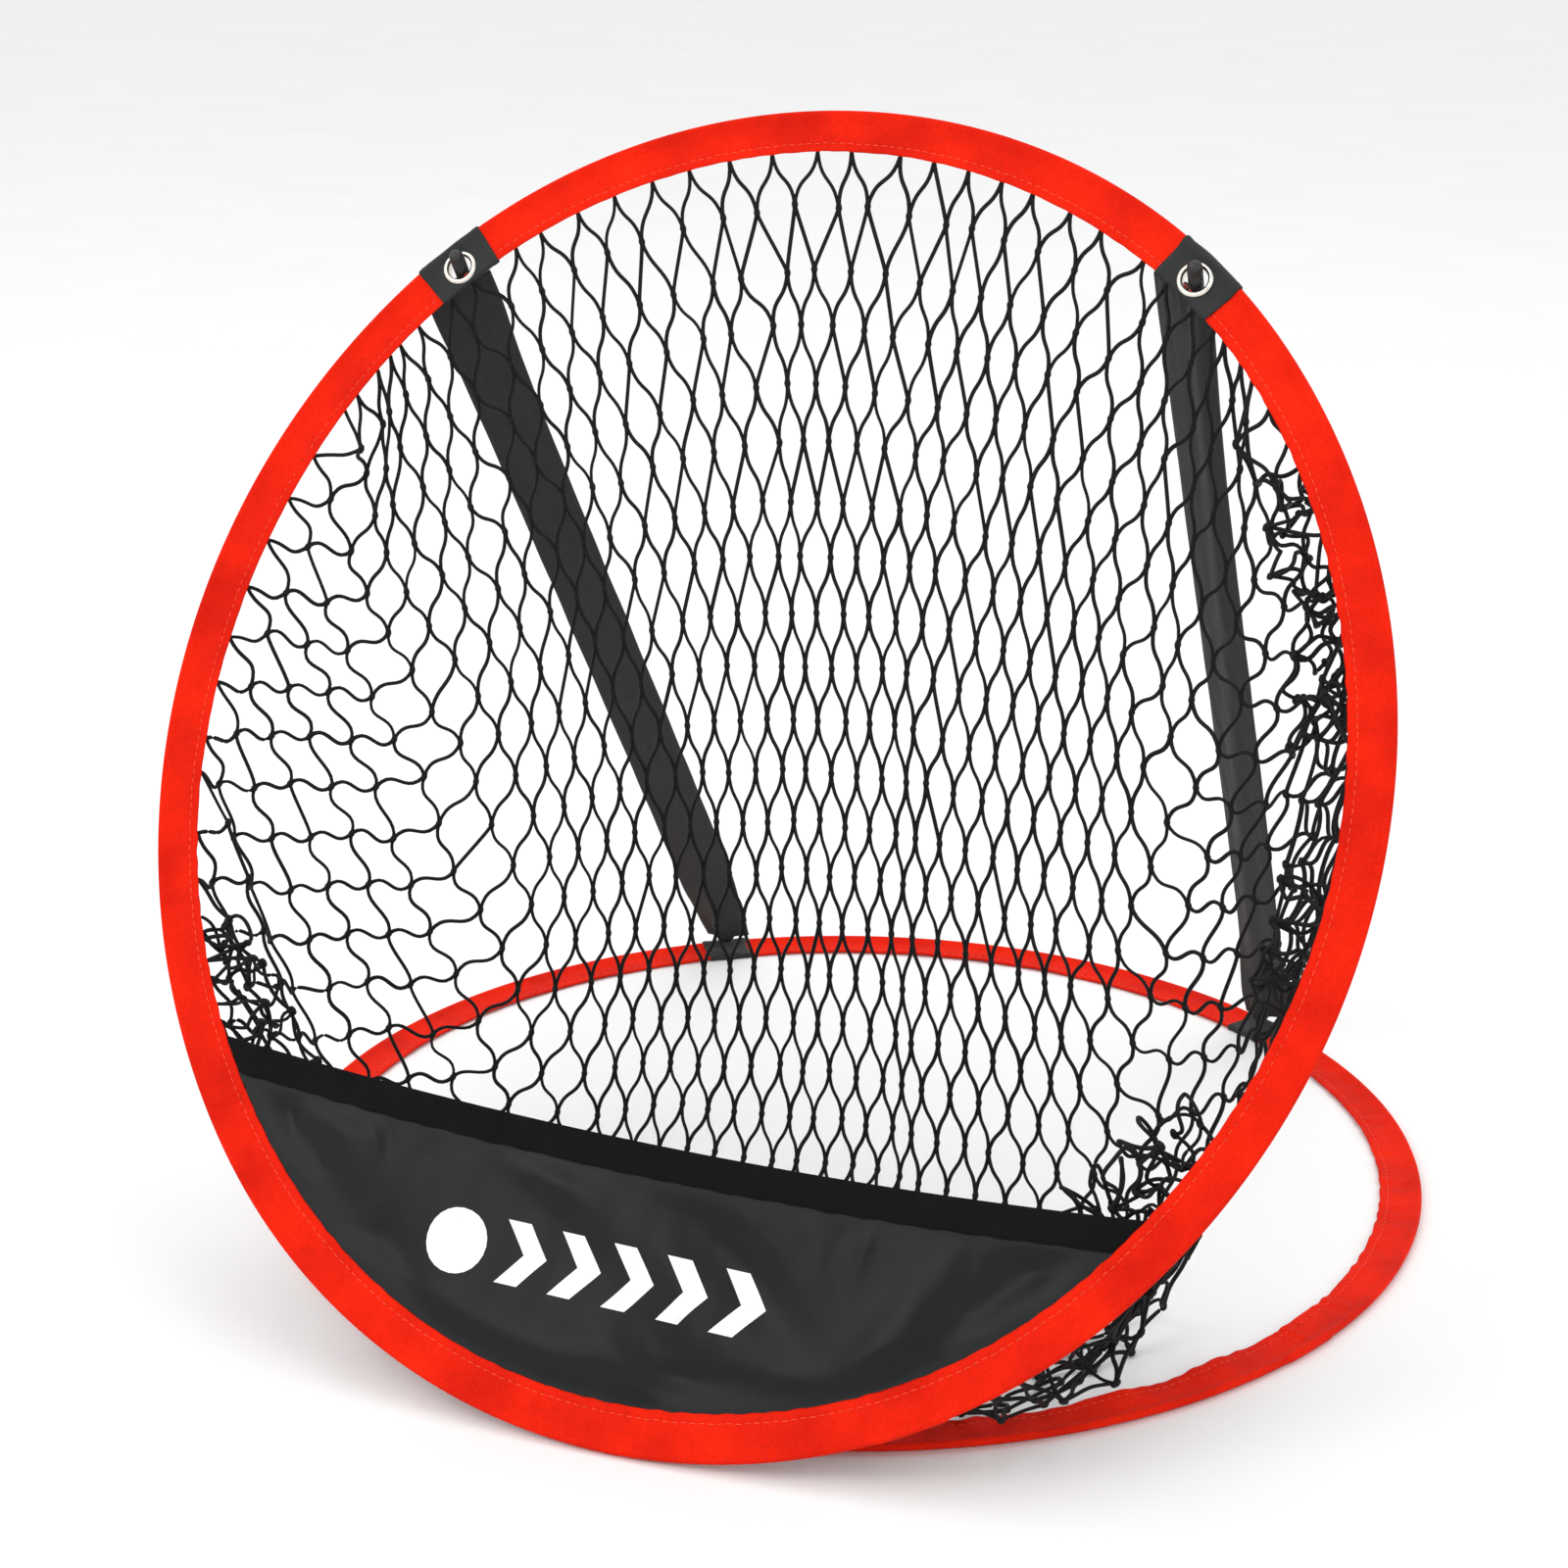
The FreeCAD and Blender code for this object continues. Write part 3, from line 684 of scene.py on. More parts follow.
def soft_copy(node, name, voxel, material, height):
    """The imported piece's own shape with an even mesh and a slightly uneven surface."""
    piece = in_scene(name, frame["nodes"][node].data.copy())
    remesh = piece.modifiers.new("even", "REMESH")
    remesh.mode = "VOXEL"
    remesh.voxel_size = voxel
    apply_modifier(piece, remesh)
    done = piece.data
    co = np.zeros(len(done.vertices) * 3)
    done.vertices.foreach_get("co", co)
    co = co.reshape(-1, 3)
    broad = np.sin(co[:, 0] * 420) * np.sin(co[:, 1] * 510 + 1)
    fine = 0.6 * np.sin(co[:, 0] * 1100 + co[:, 1] * 700)
    co[:, 2] = np.maximum(co[:, 2] + height * (broad + fine), 0.0)
    done.vertices.foreach_set("co", co.ravel())
    done.materials.clear()
    done.materials.append(material)
    done.polygons.foreach_set("use_smooth", [True] * len(done.polygons))
    layer = done.uv_layers.new(name="cloth")
    loops = np.zeros(len(done.loops), np.int32)
    done.loops.foreach_get("vertex_index", loops)
    layer.data.foreach_set("uv", co[loops][:, :2].astype(np.float32).ravel())
    done.update()
    return piece


hinge_fabric = soft_copy("hinge_strip", "hinge_strip_fabric", 0.00035, MATERIAL["hoop"], 0.00004)
ride(hinge_fabric, "base", "hoop_fabric", "hinge_strip")


# Net

LEFT, RIGHT, TALL = -33, 32, 17
TOP_LEFT, TOP_RIGHT, LOW_RIGHT, LOW_LEFT = 148.0, 40.0, -46.0, 229.0
MESH_BAR = 0.0226
WAVY_BAR = 0.0177
TWINE = 0.0016
SHORTEST_ACROSS, SHORTEST_ALONG = 0.0125, 0.019
SEWN_AT = SLEEVE - 0.0012
HOOP_BACK = -0.0006
NET_FLOOR = 0.0016
BASE_INSIDE = BASE_RADIUS - SLEEVE - 0.002
TIME_STEP = 0.004


def net_lattice(left, right, low, high):
    """Knots (i, j) of a rectangular piece of diamond mesh, and the bars that join them."""
    knots = [(i, j) for i in range(left, right + 1) for j in range(low, high + 1) if (i + j) % 2 == 0]
    index = {k: n for n, k in enumerate(knots)}
    bars = []
    for (i, j), n in index.items():
        for d in (-1, 1):
            m = index.get((i + d, j - 1))
            if m is not None:
                bars.append((n, m, d, i % 2))
    return np.array(knots), bars, index


def rim_angle(i, j):
    """Where on the hoop a knot on the piece's border is sewn, in degrees about the hoop's middle."""
    if j >= TALL:
        return np.interp(i, [LEFT, -22, 0, 22, RIGHT], [TOP_LEFT, 135.0, 92.0, 51.0, TOP_RIGHT])
    if j <= -TALL:
        return np.interp(i, [LEFT, RIGHT], [LOW_LEFT, LOW_RIGHT + 360])
    if i <= LEFT:
        return np.interp(-j, [-TALL, TALL - 9, TALL], [TOP_LEFT, 212.0, LOW_LEFT])
    return np.interp(-j, [-TALL, 5 - TALL, 3, 10, TALL], [TOP_RIGHT, 24.0, 3.0, -32.0, LOW_RIGHT])


def inside_oval(x, y):
    """How far places in the hoop's plane lie inside its outer edge."""
    angle = np.arctan2(y - HALF_HEIGHT, x)
    edge = oval(angle)
    return np.hypot(edge[..., 0], edge[..., 1] - HALF_HEIGHT) - np.hypot(x, y - HALF_HEIGHT)


def behind_panel(local):
    """How far forward netting may come: to the hoop's back, and further back where the panel hangs."""
    off_rim = ease((inside_oval(local[:, 0], local[:, 1]) - SLEEVE) / 0.015)
    return HOOP_BACK - 0.0070 * (off_rim * ease((0.130 - local[:, 1]) / 0.012))


def settle(P, knots, bars, index, sewn, steps, weight=8.0):
    """Lets the mesh hang from its sewn knots: crimped limp bars that can't stretch past their length."""
    free = (~sewn).astype(float)
    groups = []
    for side in (-1, 1):
        for which in (0, 1):
            groups.append(np.array([(a, b) for a, b, d, odd in bars if d == side and odd == which]))
    across = [(n, index[(a + 2, b)]) for (a, b), n in index.items() if (a + 2, b) in index]
    along = [(n, index[(a, b + 2)]) for (a, b), n in index.items() if (a, b + 2) in index]

    def split(pairs, key):
        return [np.array([p for p in pairs if (knots[p[0]][key] // 2) % 2 == m]) for m in range(2)]

    openings = [(g, SHORTEST_ACROSS) for g in split(across, 0)]
    openings += [(g, SHORTEST_ALONG) for g in split(along, 1)]
    scale = 1.0 + 0.06 * RNG.normal(size=len(knots))

    def pull(Q, g, change):
        a, b = g[:, 0], g[:, 1]
        d = Q[b] - Q[a]
        n = size(d) + 1e-9
        move = (change(n, a, b) / n / np.maximum(free[a] + free[b], 1))[:, None] * d
        Q[a] += move * free[a][:, None]
        Q[b] -= move * free[b][:, None]

    def bar_change(n, a, b):
        most = MESH_BAR * 0.5 * (scale[a] + scale[b])
        wavy = WAVY_BAR * 0.5 * (scale[a] + scale[b])
        slack = np.where(n < 0.5 * most, (n - 0.5 * most) * 0.3, (n - wavy) * 0.10)
        return np.where(n > most, n - most, slack)

    V = np.zeros_like(P)
    for step in range(steps):
        V *= 0.985 if step < steps * 0.7 else 0.95
        V[:, 2] -= weight * TIME_STEP * free
        Q = P + V * TIME_STEP
        Q[sewn] = P[sewn]
        for _ in range(2):
            for g in groups:
                if len(g):
                    pull(Q, g, bar_change)
            for g, least in openings:
                if len(g):
                    pull(Q, g, lambda n, a, b: np.where(n < least, (n - least) * 0.10, 0.0))
        floor = Q[:, 2] < NET_FLOOR
        Q[floor, 2] = NET_FLOOR
        Q[floor, :2] = P[floor, :2] + (Q[floor, :2] - P[floor, :2]) * 0.6
        local = lie_down(Q)
        limit = behind_panel(local) - 0.0014
        ahead = (local[:, 2] > limit) & ~sewn
        local[ahead, 2] = limit[ahead]
        at_side = (local[:, 1] > 0.10) | (local[:, 0] < -0.06)
        wide = (inside_oval(local[:, 0], local[:, 1]) < 0.012) & at_side & ~sewn
        local[wide, 0] *= 0.985
        moved = ahead | wide
        Q[moved] = stand_up(local[moved])
        r = np.hypot(Q[:, 0], Q[:, 1] - BASE_MIDDLE[1])
        out = (r > BASE_INSIDE) & (Q[:, 2] < 0.008) & ~sewn
        k = BASE_INSIDE / r[out]
        Q[out, 0] *= k
        Q[out, 1] = BASE_MIDDLE[1] + (Q[out, 1] - BASE_MIDDLE[1]) * k
        V = (Q - P) / TIME_STEP
        V[sewn] = 0
        V *= np.minimum(1.0, 1.5 / np.maximum(size(V), 1e-9))[:, None]
        P = Q
    return P


def hang_net(steps):
    """The bag: a rectangular piece sewn to the hoop all round."""
    knots, bars, index = net_lattice(LEFT, RIGHT, -TALL, TALL)
    i, j = knots[:, 0].astype(float), knots[:, 1].astype(float)
    sewn = (knots[:, 0] == LEFT) | (knots[:, 0] == RIGHT) | (abs(knots[:, 1]) == TALL)
    stray = RNG.normal(0, 0.45, len(knots))

    def rim(columns, rows, move=0.0):
        angles = np.array([rim_angle(p, q) for p, q in zip(columns, rows)]) + move
        return oval(np.radians(angles), SEWN_AT)

    u, v = ((i - LEFT) / (RIGHT - LEFT))[:, None], ((j + TALL) / (2.0 * TALL))[:, None]
    zero = 0 * i
    corner = [rim(zero + a, zero + b) for b in (-TALL, TALL) for a in (LEFT, RIGHT)]
    flat = (1 - v) * rim(i, zero - TALL) + v * rim(i, zero + TALL)
    flat = flat + (1 - u) * rim(zero + LEFT, j) + u * rim(zero + RIGHT, j)
    low_corners = (1 - u) * (1 - v) * corner[0] + u * (1 - v) * corner[1]
    flat -= low_corners + (1 - u) * v * corner[2] + u * v * corner[3]
    flat[sewn] = rim(i[sewn], j[sewn], stray[sewn])
    P = stand_up(np.column_stack([flat, np.where(sewn, HOOP_BACK, -0.03)]))
    P[~sewn] += RNG.normal(0, 0.003, (int((~sewn).sum()), 3))
    return settle(P, knots, bars, index, sewn, steps), bars, sewn


def gathered_edge(start, end, rows, columns, reach, hold, weight, steps, net_points):
    """Slack netting bunched along part of the rim.

    Its inner knots hang on the bag where they reach it; with hold, the ones that don't stay where they start.
    """
    knots, bars, index = net_lattice(0, rows, -columns, 0)
    share, away = knots[:, 0] / rows, -knots[:, 1] / columns
    angle = np.radians(start + (end - start) * share)
    flat = oval(angle, SEWN_AT)
    to_middle = np.array([0.0, HALF_HEIGHT]) - flat
    far = size(to_middle)[:, None]
    depth = reach * away * np.sqrt(np.sin(np.pi * (0.04 + 0.92 * share)))
    flat = flat + to_middle / far * depth[:, None]
    P = stand_up(np.column_stack([flat, HOOP_BACK - 0.008 * away]))
    P[away > 0] += RNG.normal(0, 0.003, (int((away > 0).sum()), 3))
    caught = away > 0.99
    for n in np.nonzero(caught)[0]:
        gap = size(net_points - P[n])
        near = gap.min() < 0.012
        caught[n] = hold or near
        if near:
            P[n] = net_points[np.argmin(gap)]
    sewn = (away == 0) | caught
    return settle(P, knots, bars, index, sewn, steps, weight), bars, sewn


def strands(P, bars, samples, pull, curl):
    """Each bar as a curve of its own length that leaves its knots along their axes, or in slack curls."""
    A, B = np.array([b[0] for b in bars]), np.array([b[1] for b in bars])
    d = P[B] - P[A]
    n = size(d) + 1e-9
    e = d / n[:, None]
    up, down = np.zeros_like(P), np.zeros_like(P)
    np.add.at(down, A, e)
    np.add.at(up, B, -e)
    up, down = unit(up), unit(down)
    start = unit(e * (1 - pull) + down[A] * pull)
    end = unit(e * (1 - pull) - up[B] * pull)
    if curl > 0:
        last = ~np.isin(B, A)
        end[last] = unit(e - (e * up[B]).sum(1)[:, None] * up[B])[last]
        start = unit(start + curl * RNG.normal(size=e.shape))
        end = unit(end + curl * np.where(last, 0.3, 1.0)[:, None] * RNG.normal(size=e.shape))
    t = np.linspace(0, 1, samples)[None, :, None]
    shape = (2 * t**3 - 3 * t**2 + 1, t**3 - 2 * t**2 + t, -2 * t**3 + 3 * t**2, t**3 - t**2)
    low, high = np.full(len(bars), 0.3), np.full(len(bars), 1.7 + 6.0 * curl)
    slack = n * (1.10 + 3.0 * curl + 0.02 * RNG.normal(size=len(bars)))
    want = np.minimum(MESH_BAR * (1.07 - 0.3 * curl), slack)
    for _ in range(14):
        middle = 0.5 * (low + high)
        m = (n * middle)[:, None]
        c = shape[0] * P[A][:, None] + shape[1] * (start * m)[:, None]
        c = c + shape[2] * P[B][:, None] + shape[3] * (end * m)[:, None]
        length = size(np.diff(c, axis=1)).sum(1)
        low = np.where(length < want, middle, low)
        high = np.where(length < want, high, middle)
    local = lie_down(c.reshape(-1, 3))
    local[:, 2] = np.minimum(local[:, 2], behind_panel(local))
    c = stand_up(local).reshape(c.shape)
    c[:, :, 2] = np.maximum(c[:, :, 2], 0.0012)
    return c, up, down


# Slack netting: first and last angle, rows, columns, reach inward, hold, weight, share of the steps
GATHERS = (
    (35.0, 7.0, 22, 3, 0.023, False, 0.4, 0.25),
    (-6.0, -17.0, 10, 2, 0.016, False, 0.4, 0.25),
    (-29.0, -54.0, 26, 3, 0.030, True, 0.4, 0.03),
    (-55.0, -70.0, 14, 2, 0.024, True, 3.0, 0.25),
    (221.0, 203.0, 16, 2, 0.013, False, 0.4, 0.25),
)
STEPS = 2200
PULL = 0.68
CURL = 0.36
KNOT_LENGTH, KNOT_WIDTH = 0.0022, 0.0014

bag = hang_net(STEPS)
pieces = [(*bag, 11, 0.0)]
for start, end, rows, columns, reach, hold, weight, share in GATHERS:
    bunch = gathered_edge(start, end, rows, columns, reach, hold, weight, int(STEPS * share), bag[0])
    pieces.append((*bunch, 17, CURL))
net_parts, net_faces, count = [], [], 0
for points, bars, sewn, samples, curl in pieces:
    curves, knot_up, knot_down = strands(points, bars, samples, PULL, curl)
    twine_radius = np.full(curves.shape[:2], TWINE / 2) * (1 + 0.06 * RNG.normal(size=(len(curves), 1)))
    tube_points, tube_faces = tubes(curves, twine_radius, 6)
    axis = unit(knot_up - knot_down + 1e-6)
    knot_points, knot_faces = ellipsoids(points[~sewn], axis[~sewn], KNOT_LENGTH, KNOT_WIDTH)
    for more, faces in ((tube_points, tube_faces), (knot_points, knot_faces)):
        net_parts.append(more)
        net_faces.append(faces + count)
        count += len(more)
net_points = np.vstack(net_parts)
net_points[:, 2] = np.maximum(net_points[:, 2], 0.0)
net = new_mesh("net_twine", net_points, np.vstack(net_faces), MATERIAL["twine"])
recalc(net)
ride(net, "target", "net_twine", "net_bag")
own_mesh(net)


# Panel and hem

HEM_TOP = ((-0.200, 0.126), (0.0, 0.109), (0.200, 0.112))
HEM_HEIGHT = 0.012
PANEL_LIFT = 0.0006
PANEL_THICKNESS = 0.00035


def hem_curve(x):
    """Height of the hem's top edge: the arc through its three points."""
    (x0, y0), (x1, y1), (x2, y2) = HEM_TOP
    d = 2 * (x0 * (y1 - y2) + x1 * (y2 - y0) + x2 * (y0 - y1))
    cx = ((x0**2 + y0**2) * (y1 - y2) + (x1**2 + y1**2) * (y2 - y0) + (x2**2 + y2**2) * (y0 - y1)) / d
    cy = ((x0**2 + y0**2) * (x2 - x1) + (x1**2 + y1**2) * (x0 - x2) + (x2**2 + y2**2) * (x1 - x0)) / d
    r = math.hypot(x0 - cx, y0 - cy)
    return cy - np.sqrt(r * r - (x - cx) ** 2)


LOW_HALF = oval(np.linspace(math.radians(181), math.radians(359), 4000), SLEEVE - 0.003)


def low_edge(x):
    """Height of the panel's low edge, tucked behind the sleeve."""
    return np.interp(x, LOW_HALF[:, 0], LOW_HALF[:, 1])


def panel_grid(columns, rows):
    """Places of the flat panel's grid, between its low edge and the hem."""
    xs = np.linspace(-0.2375, 0.2375, 4000)
    inside = xs[(hem_curve(xs) - low_edge(xs) > 0.001) & (np.abs(xs) < LOW_HALF[:, 0].max())]
    x = np.linspace(inside[0], inside[-1], columns)
    low, top = low_edge(x), hem_curve(x) - 0.002
    v = np.linspace(0, 1, rows)
    X = np.repeat(x[None], rows, 0)
    Y = low[None] + (top - low)[None] * v[:, None]
    return X, Y


def turned(x, y, turn):
    """Places along and across a line at this angle."""
    return x * math.cos(turn) + y * math.sin(turn), -x * math.sin(turn) + y * math.cos(turn)


def ridge(rng, height, a, a_reach, b, b_reach):
    """A soft ridge of a random height; its reach along a and b is random too."""
    top = rng.normal(0, height)
    return top * np.exp(-(a / rng.uniform(*a_reach)) ** 2 - (b / rng.uniform(*b_reach)) ** 2)


# How sheet points are held to others so many rows and columns away: rows, columns, stiffness, slack
SHEET_LINKS = (
    (0, 1, 1.0, 1.028), (1, 0, 1.0, 1.028), (1, 1, 0.5, 1.022), (1, -1, 0.5, 1.022),
    (0, 2, 0.12, 1.02), (2, 0, 0.12, 1.02), (0, 4, 0.05, 1.01), (4, 0, 0.05, 1.01),
)


def sheet_links(rest, rows, columns):
    """Sets of pairs that share no point, with their lengths and stiffness."""
    index = np.arange(rows * columns).reshape(rows, columns)
    links = []
    for down, over, stiff, slack in SHEET_LINKS:
        one = index[: rows - down, max(0, -over): columns - max(0, over)]
        other = index[down:, max(0, over): columns + min(0, over)]
        for first in range(2):
            if down == 0:
                part = slice(None), slice(first * over, None, 2 * over)
            else:
                part = slice(first * down, None, 2 * down), slice(None)
            a, b = one[part].ravel(), other[part].ravel()
            length = size(rest[b] - rest[a]) * slack
            links.append((a, b, length, stiff))
    return links


def crumple(X, Y, steps, seed):
    """Lets a slightly oversized sheet, sewn round its low edge and along its hem, buckle into folds."""
    rng = np.random.default_rng(seed)
    rows, columns = X.shape
    P = np.stack([X, Y, np.zeros_like(X)], -1).reshape(-1, 3)
    links = sheet_links(P, rows, columns)
    bumps = np.zeros(rows * columns)
    for _ in range(46):
        c = rng.uniform([X.min(), Y.min()], [X.max(), Y.max()])
        a, b = turned(P[:, 0] - c[0], P[:, 1] - c[1], rng.normal(math.radians(115), 0.55))
        bumps += ridge(rng, 0.0020, a, (0.02, 0.06), b, (0.006, 0.014))
    free = np.ones((rows, columns))
    free[0] = free[-1] = 0
    free[:, 0] = free[:, -1] = 0
    free = free.ravel()
    P[:, 2] = np.where(free == 0, 0.0, bumps)
    V = np.zeros_like(P)
    for _ in range(steps):
        V *= 0.94
        Q = P + V
        Q[:, 1] -= 0.000012 * free
        Q[free == 0] = P[free == 0]
        for a, b, length, stiff in links:
            d = Q[b] - Q[a]
            n = size(d) + 1e-9
            move = ((n - length) * stiff * 0.5 / n)[:, None] * d
            Q[a] += move * free[a][:, None]
            Q[b] -= move * free[b][:, None]
        Q[:, 2] = np.clip(Q[:, 2], -0.0045, 0.0065)
        V = Q - P
        P = Q
    return P.reshape(rows, columns, 3)


def refine(grid, times):
    """Finer grid through the same points, by cubic interpolation along each way."""
    def along(g):
        n = len(g)
        t = np.linspace(0, n - 1, (n - 1) * times + 1)
        k = np.clip(t.astype(int), 0, n - 2)
        f = (t - k)[:, None, None]
        p0, p1, p2, p3 = g[np.clip(k - 1, 0, n - 1)], g[k], g[k + 1], g[np.clip(k + 2, 0, n - 1)]
        square = (2 * p0 - 5 * p1 + 4 * p2 - p3) * f**2
        cube = (3 * p1 - p0 - 3 * p2 + p3) * f**3
        return 0.5 * (2 * p1 + (p2 - p0) * f + square + cube)

    return along(along(grid).transpose(1, 0, 2)).transpose(1, 0, 2)


PANEL_X, PANEL_Y = panel_grid(86, 26)
PANEL = refine(crumple(PANEL_X, PANEL_Y, 320, 3), 3)


def broad_folds(X, Y):
    """Soft folds that fan from the left corner and short gathers under the hem."""
    rng = np.random.default_rng(17)
    height = np.zeros_like(X)
    for _ in range(26):
        cx, cy = rng.uniform(-0.16, 0.16), rng.uniform(0.02, 0.10)
        turn = math.radians(rng.uniform(-62, -18) if cx < 0.06 else rng.uniform(35, 75))
        a, b = turned(X - cx, Y - cy, turn)
        height += ridge(rng, 0.0017, a, (0.02, 0.05), b, (0.005, 0.012))
    under = hem_curve(X) - HEM_HEIGHT - Y
    for _ in range(16):
        cx = rng.uniform(-0.17, 0.17)
        b = X - cx + rng.normal(0, 0.35) * under
        height += ridge(rng, 0.0007, b, (0.002, 0.005), under, (0.012, 0.028))
    return height


def blurred(z, times):
    """Heights on a grid, each drawn toward its neighbours."""
    for _ in range(times):
        z = np.pad(z, 1, mode="edge")
        z = (z[1:-1, :-2] + z[1:-1, 2:] + z[:-2, 1:-1] + z[2:, 1:-1] + 2 * z[1:-1, 1:-1]) / 6
    return z


PANEL[:, :, :2] = refine(np.stack([PANEL_X, PANEL_Y], -1), 3)
depth = inside_oval(PANEL[:, :, 0], PANEL[:, :, 1])
below_hem = hem_curve(PANEL[:, :, 0]) - HEM_HEIGHT - PANEL[:, :, 1]
PANEL[:, :, 2] = 0.45 * blurred(PANEL[:, :, 2], 8) + broad_folds(PANEL[:, :, 0], PANEL[:, :, 1])
PANEL[:, :, 2] *= ease((depth - SLEEVE - 0.0005) / 0.014) * (0.02 + 0.98 * ease((below_hem - 0.0005) / 0.010))
PANEL[:, :, 2] += PANEL_LIFT


def sheet_of(name, grid, thickness, material):
    """A thin closed sheet with its middle on a grid of hoop-plane points."""
    rows, columns = grid.shape[:2]
    du, dv = np.gradient(grid, axis=1), np.gradient(grid, axis=0)
    normal = unit(np.cross(du, dv))
    half = np.broadcast_to(np.asarray(thickness) / 2, grid.shape[:2])[..., None]
    front, back = grid + normal * half, grid - normal * half
    points = np.vstack([front.reshape(-1, 3), back.reshape(-1, 3)])
    one = grid_faces(rows, columns)
    other = one[:, ::-1] + rows * columns
    number = np.arange(rows * columns).reshape(rows, columns)
    ring = np.concatenate([number[0], number[1:, -1], number[-1, -2::-1], number[-2:0:-1, 0]])
    after = np.roll(ring, -1)
    rim = np.stack([ring, ring + rows * columns, after + rows * columns, after], 1)
    uv = np.vstack([grid[:, :, :2].reshape(-1, 2)] * 2)
    piece = new_mesh(name, stand_up(points), np.vstack([one, other, rim]), material, uv=uv)
    recalc(piece)
    return piece


panel = sheet_of("panel_cloth", PANEL, PANEL_THICKNESS, MATERIAL["panel"])
ride(panel, "target", "panel_fabric", "front_panel")

hem_columns, hem_rows = 420, 9
hem_x = np.linspace(PANEL[-1, 0, 0] - 0.0005, PANEL[-1, -1, 0] + 0.0005, hem_columns)
hem_noise = smooth_noise(np.linspace(0, 1, hem_columns), 14, 31, 3, 30)
HEM = np.zeros((hem_rows, hem_columns, 3))
for k, share in enumerate(np.linspace(0, 1, hem_rows)):
    HEM[k, :, 0] = hem_x
    HEM[k, :, 1] = hem_curve(hem_x) - (HEM_HEIGHT + 0.0002 * hem_noise) * (1 - share)
    from_sleeve = inside_oval(HEM[k, :, 0], HEM[k, :, 1]) - SLEEVE
    HEM[k, :, 2] = PANEL_LIFT + 0.0004 * hem_noise * (0.4 + 0.6 * share) * ease(from_sleeve / 0.01)
HEM = HEM[:, HEM[-1, :, 1] > low_edge(HEM[-1, :, 0]) + 0.0015]
HEM[:, :, 1] = np.maximum(HEM[:, :, 1], low_edge(HEM[:, :, 0]) + 0.001)
from_sleeve = inside_oval(HEM[:, :, 0], HEM[:, :, 1]) - SLEEVE
hem = sheet_of("hem_tape", HEM, 0.0003 + 0.0011 * ease((from_sleeve - 0.0002) / 0.002), MATERIAL["hem"])
ride(hem, "target", "hem_tape", "panel_hem")


# Print on the panel: a ball disc and chevrons that follow its folds

def panel_height(x, y):
    """Front of the panel's cloth at these places."""
    xs = PANEL[0, :, 0]
    column = np.interp(x, xs, np.arange(len(xs)))
    k = np.clip(column.astype(int), 0, len(xs) - 2)
    f = column - k
    low = PANEL[0, k, 1] * (1 - f) + PANEL[0, k + 1, 1] * f
    top = PANEL[-1, k, 1] * (1 - f) + PANEL[-1, k + 1, 1] * f
    row = np.clip((y - low) / (top - low), 0, 1) * (PANEL.shape[0] - 1)
    r = np.clip(row.astype(int), 0, PANEL.shape[0] - 2)
    g = row - r
    z = PANEL[:, :, 2]
    below = z[r, k] * (1 - f) + z[r, k + 1] * f
    above = z[r + 1, k] * (1 - f) + z[r + 1, k + 1] * f
    return below * (1 - g) + above * g


GRAPHIC_MIDDLE = (-0.015, 0.061)
GRAPHIC_TURN = math.radians(-2.5)
PRINT_ABOVE = 0.00034
DISC_RADIUS = 0.012
CHEVRONS, CHEVRON_PITCH = 5, 0.021
CHEVRON_LENGTH, CHEVRON_ARM, CHEVRON_HALF_HEIGHT = 0.018, 0.009, 0.0115


def print_patch(outline):
    """Fills a flat convex outline with a fine fan and lays it on the cloth."""
    c, s = math.cos(GRAPHIC_TURN), math.sin(GRAPHIC_TURN)
    rings = np.linspace(0, 1, 9)
    middle = outline.mean(0)
    side = (np.roll(outline, -1, 0) - outline)[:, None]
    edge = (outline[:, None] + side * rings[:-1, None]).reshape(-1, 2)
    p = middle + (edge - middle)[None] * rings[:, None, None]
    x = GRAPHIC_MIDDLE[0] + p[..., 0] * c - p[..., 1] * s
    y = GRAPHIC_MIDDLE[1] + p[..., 0] * s + p[..., 1] * c
    return np.stack([x, y, panel_height(x, y) + PRINT_ABOVE], -1)


outlines = []
row_start = DISC_RADIUS - CHEVRONS * CHEVRON_PITCH / 2
for k in range(CHEVRONS):
    x = row_start + CHEVRON_PITCH * k
    for end in (CHEVRON_HALF_HEIGHT, -CHEVRON_HALF_HEIGHT):
        outlines.append([(x, end), (x + CHEVRON_ARM, end), (x + CHEVRON_LENGTH, 0.0), (x + CHEVRON_ARM, 0.0)])
disc = row_start - 0.018
outlines.append([(disc + DISC_RADIUS * math.cos(a), DISC_RADIUS * math.sin(a)) for a in circle(24)])

graphic_points, graphic_faces, count = [], [], 0
for outline in outlines:
    patch = print_patch(np.array(outline))
    graphic_points.append(patch.reshape(-1, 3))
    graphic_faces.append(grid_faces(patch.shape[0], patch.shape[1], wrap_columns=True) + count)
    count += len(graphic_points[-1])
graphic_points = np.vstack(graphic_points)
graphic = new_mesh("panel_print", stand_up(graphic_points), np.vstack(graphic_faces), MATERIAL["print"],
                   uv=graphic_points[:, :2])
ride(graphic, "target", "graphic_white", "panel_graphic")


# CAD pieces that stay, with better materials

PAIRED = {"_eyelet": "nickel", "_eyelet_washer": "nickel", "_strut_rod": "rod"}
PAIRED.update({"_strut_foot": "cap", "_strut_tip": "cap"})
KEEP = {hoop + part: "steel" for hoop in ("base", "target") for part in ("_hoop_wire", "_wire_ferrule")}
KEEP.update({side + part: key for side in ("left", "right") for part, key in PAIRED.items()})
for node, key in KEEP.items():
    piece = frame["nodes"][node]
    piece.data.materials.clear()
    piece.data.materials.append(MATERIAL[key])


# Floor, light and camera

FLOOR_HALF = 40


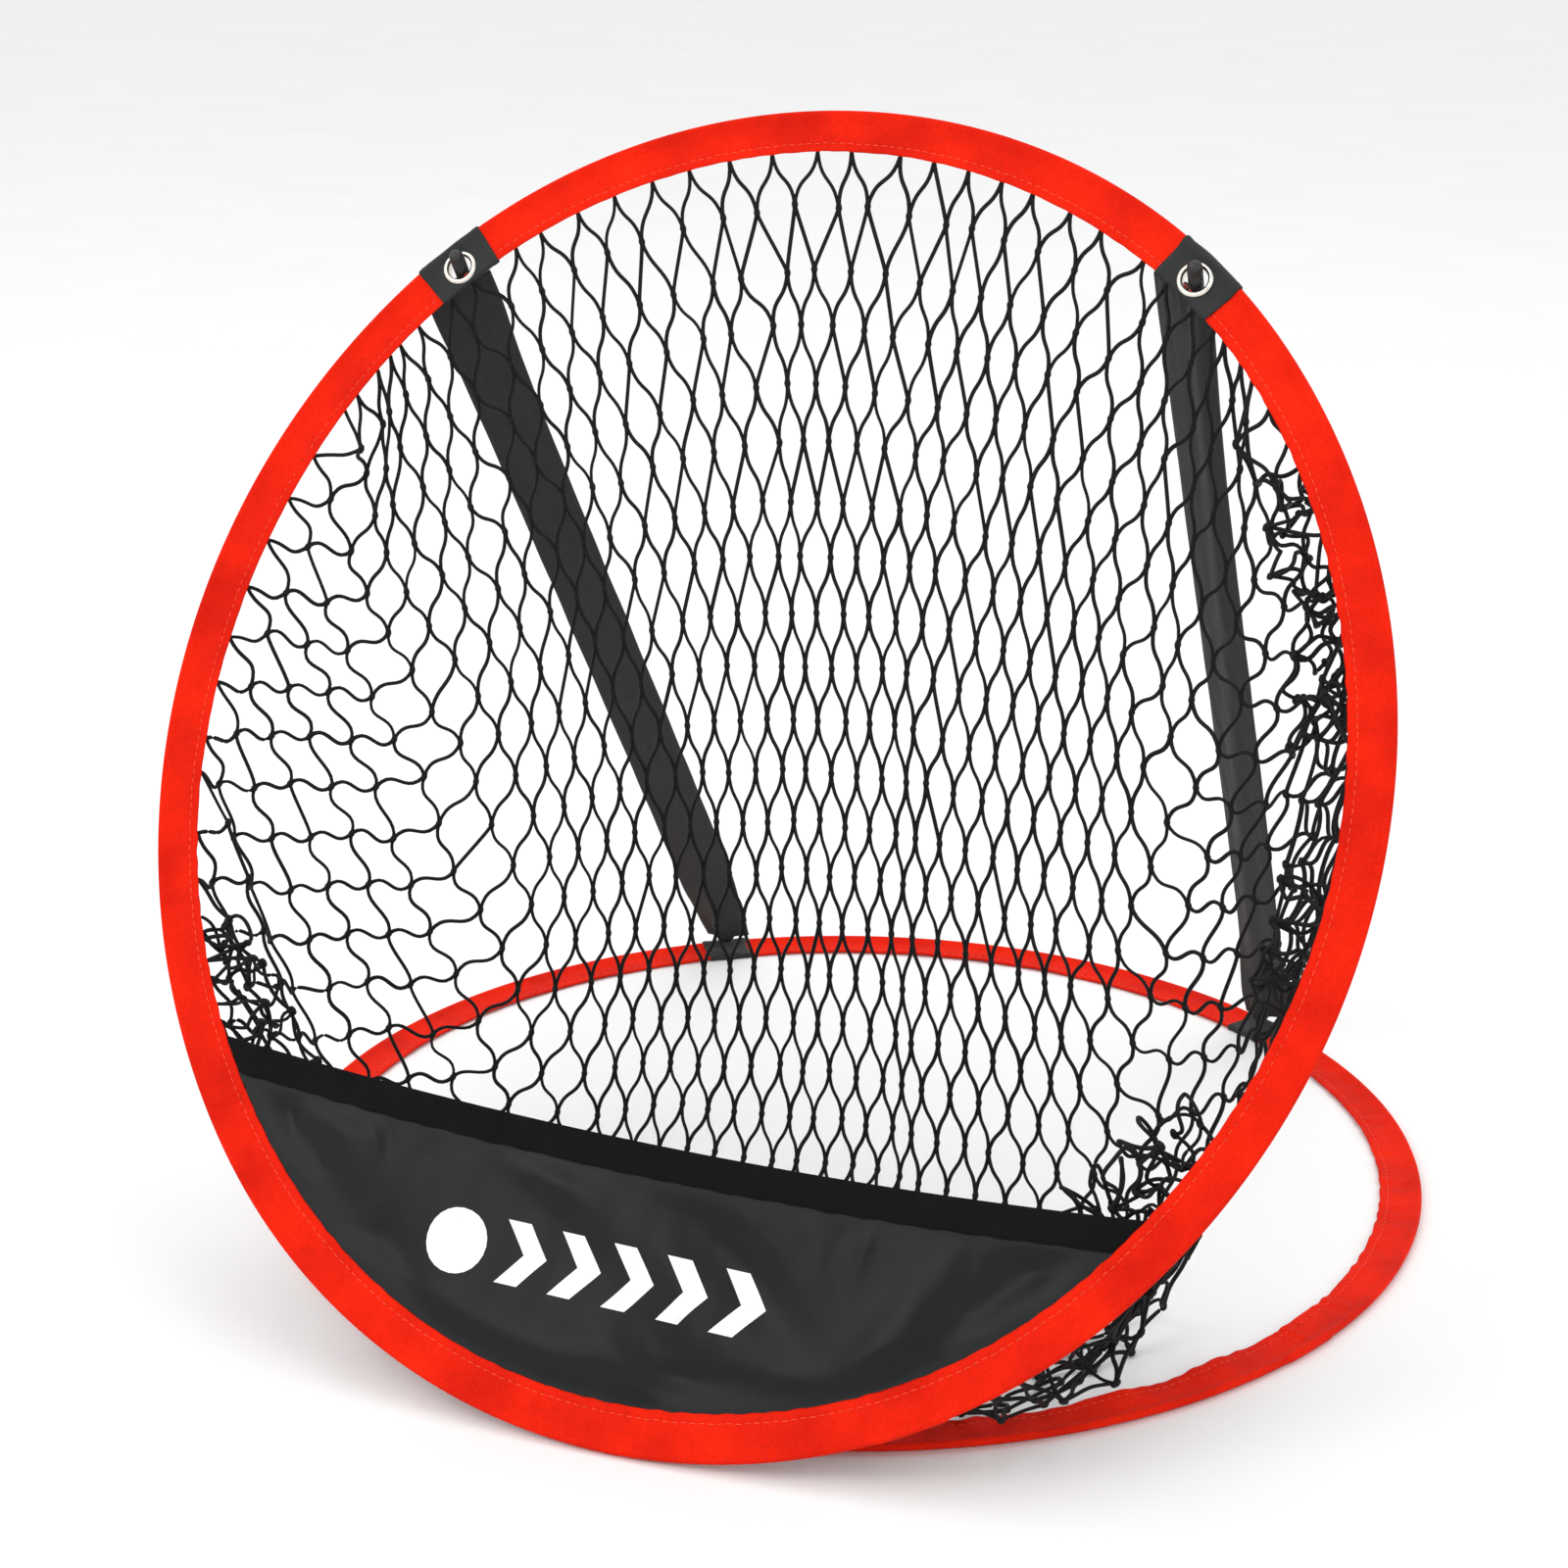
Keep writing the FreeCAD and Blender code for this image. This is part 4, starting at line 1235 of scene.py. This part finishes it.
def make_stage():
    m = Nodes("floor_paper")
    m.put(m.shader.inputs["Base Color"], m.ramp(m.noise(6.0, 3.0), [(0.3, grey(0.86)), (0.7, grey(0.88))]))
    m.put(m.shader.inputs["Roughness"], m.ramp(m.noise(12.0, 3.0), [(0.3, grey(0.82)), (0.7, grey(0.88))]))
    m.put(m.shader.inputs["Normal"], m.bump(m.noise(900.0, 2.0), 0.1, 0.0002))
    corners = [(x * FLOOR_HALF, y * FLOOR_HALF, 0) for x, y in ((-1, -1), (1, -1), (1, 1), (-1, 1))]
    new_mesh("floor", corners, [(0, 1, 2, 3)], m.material, smooth=False)


def aim_at(made, where, direction):
    """Puts a light or a camera in its place, facing along the direction."""
    made.location = where
    made.rotation_mode = "QUATERNION"
    made.rotation_quaternion = direction.to_track_quat("-Z", "Y")


def area_light(name, where, aim, size, power):
    """A white soft box that faces its aim."""
    light = bpy.data.lights.new(name, "AREA")
    light.shape = "RECTANGLE"
    light.size, light.size_y = size
    light.energy = power
    aim_at(in_scene(name, light), where, Vector(aim) - Vector(where))


make_stage()
area_light("key_light", (-1.4, -2.2, 2.6), (0, 0, 0.2), (1.8, 1.8), 34)
area_light("fill_light", (2.2, -1.2, 1.6), (0, 0, 0.2), (1.6, 1.6), 8)
area_light("top_light", (0.1, 0.6, 3.0), (0, 0, 0.1), (2.4, 2.4), 14)

world = bpy.data.worlds.new("studio")
world.use_nodes = True
world.node_tree.nodes["Background"].inputs["Color"].default_value = (1.0, 1.0, 1.0, 1.0)
world.node_tree.nodes["Background"].inputs["Strength"].default_value = 0.98
bpy.context.scene.world = world
bpy.context.scene.view_settings.view_transform = "Standard"

azimuth, elevation = math.radians(20.11), math.radians(18.87)
level = math.cos(elevation)
ahead = Vector((-math.sin(azimuth) * level, math.cos(azimuth) * level, -math.sin(elevation)))
camera_data = bpy.data.cameras.new("camera")
camera_data.sensor_width = 36.0
camera_data.lens = 67.5
camera_data.clip_start = 0.05
camera_data.clip_end = 100
camera = in_scene("camera", camera_data)
aim_at(camera, (0.3679, -1.0760, 0.5587), ahead)
bpy.context.scene.camera = camera
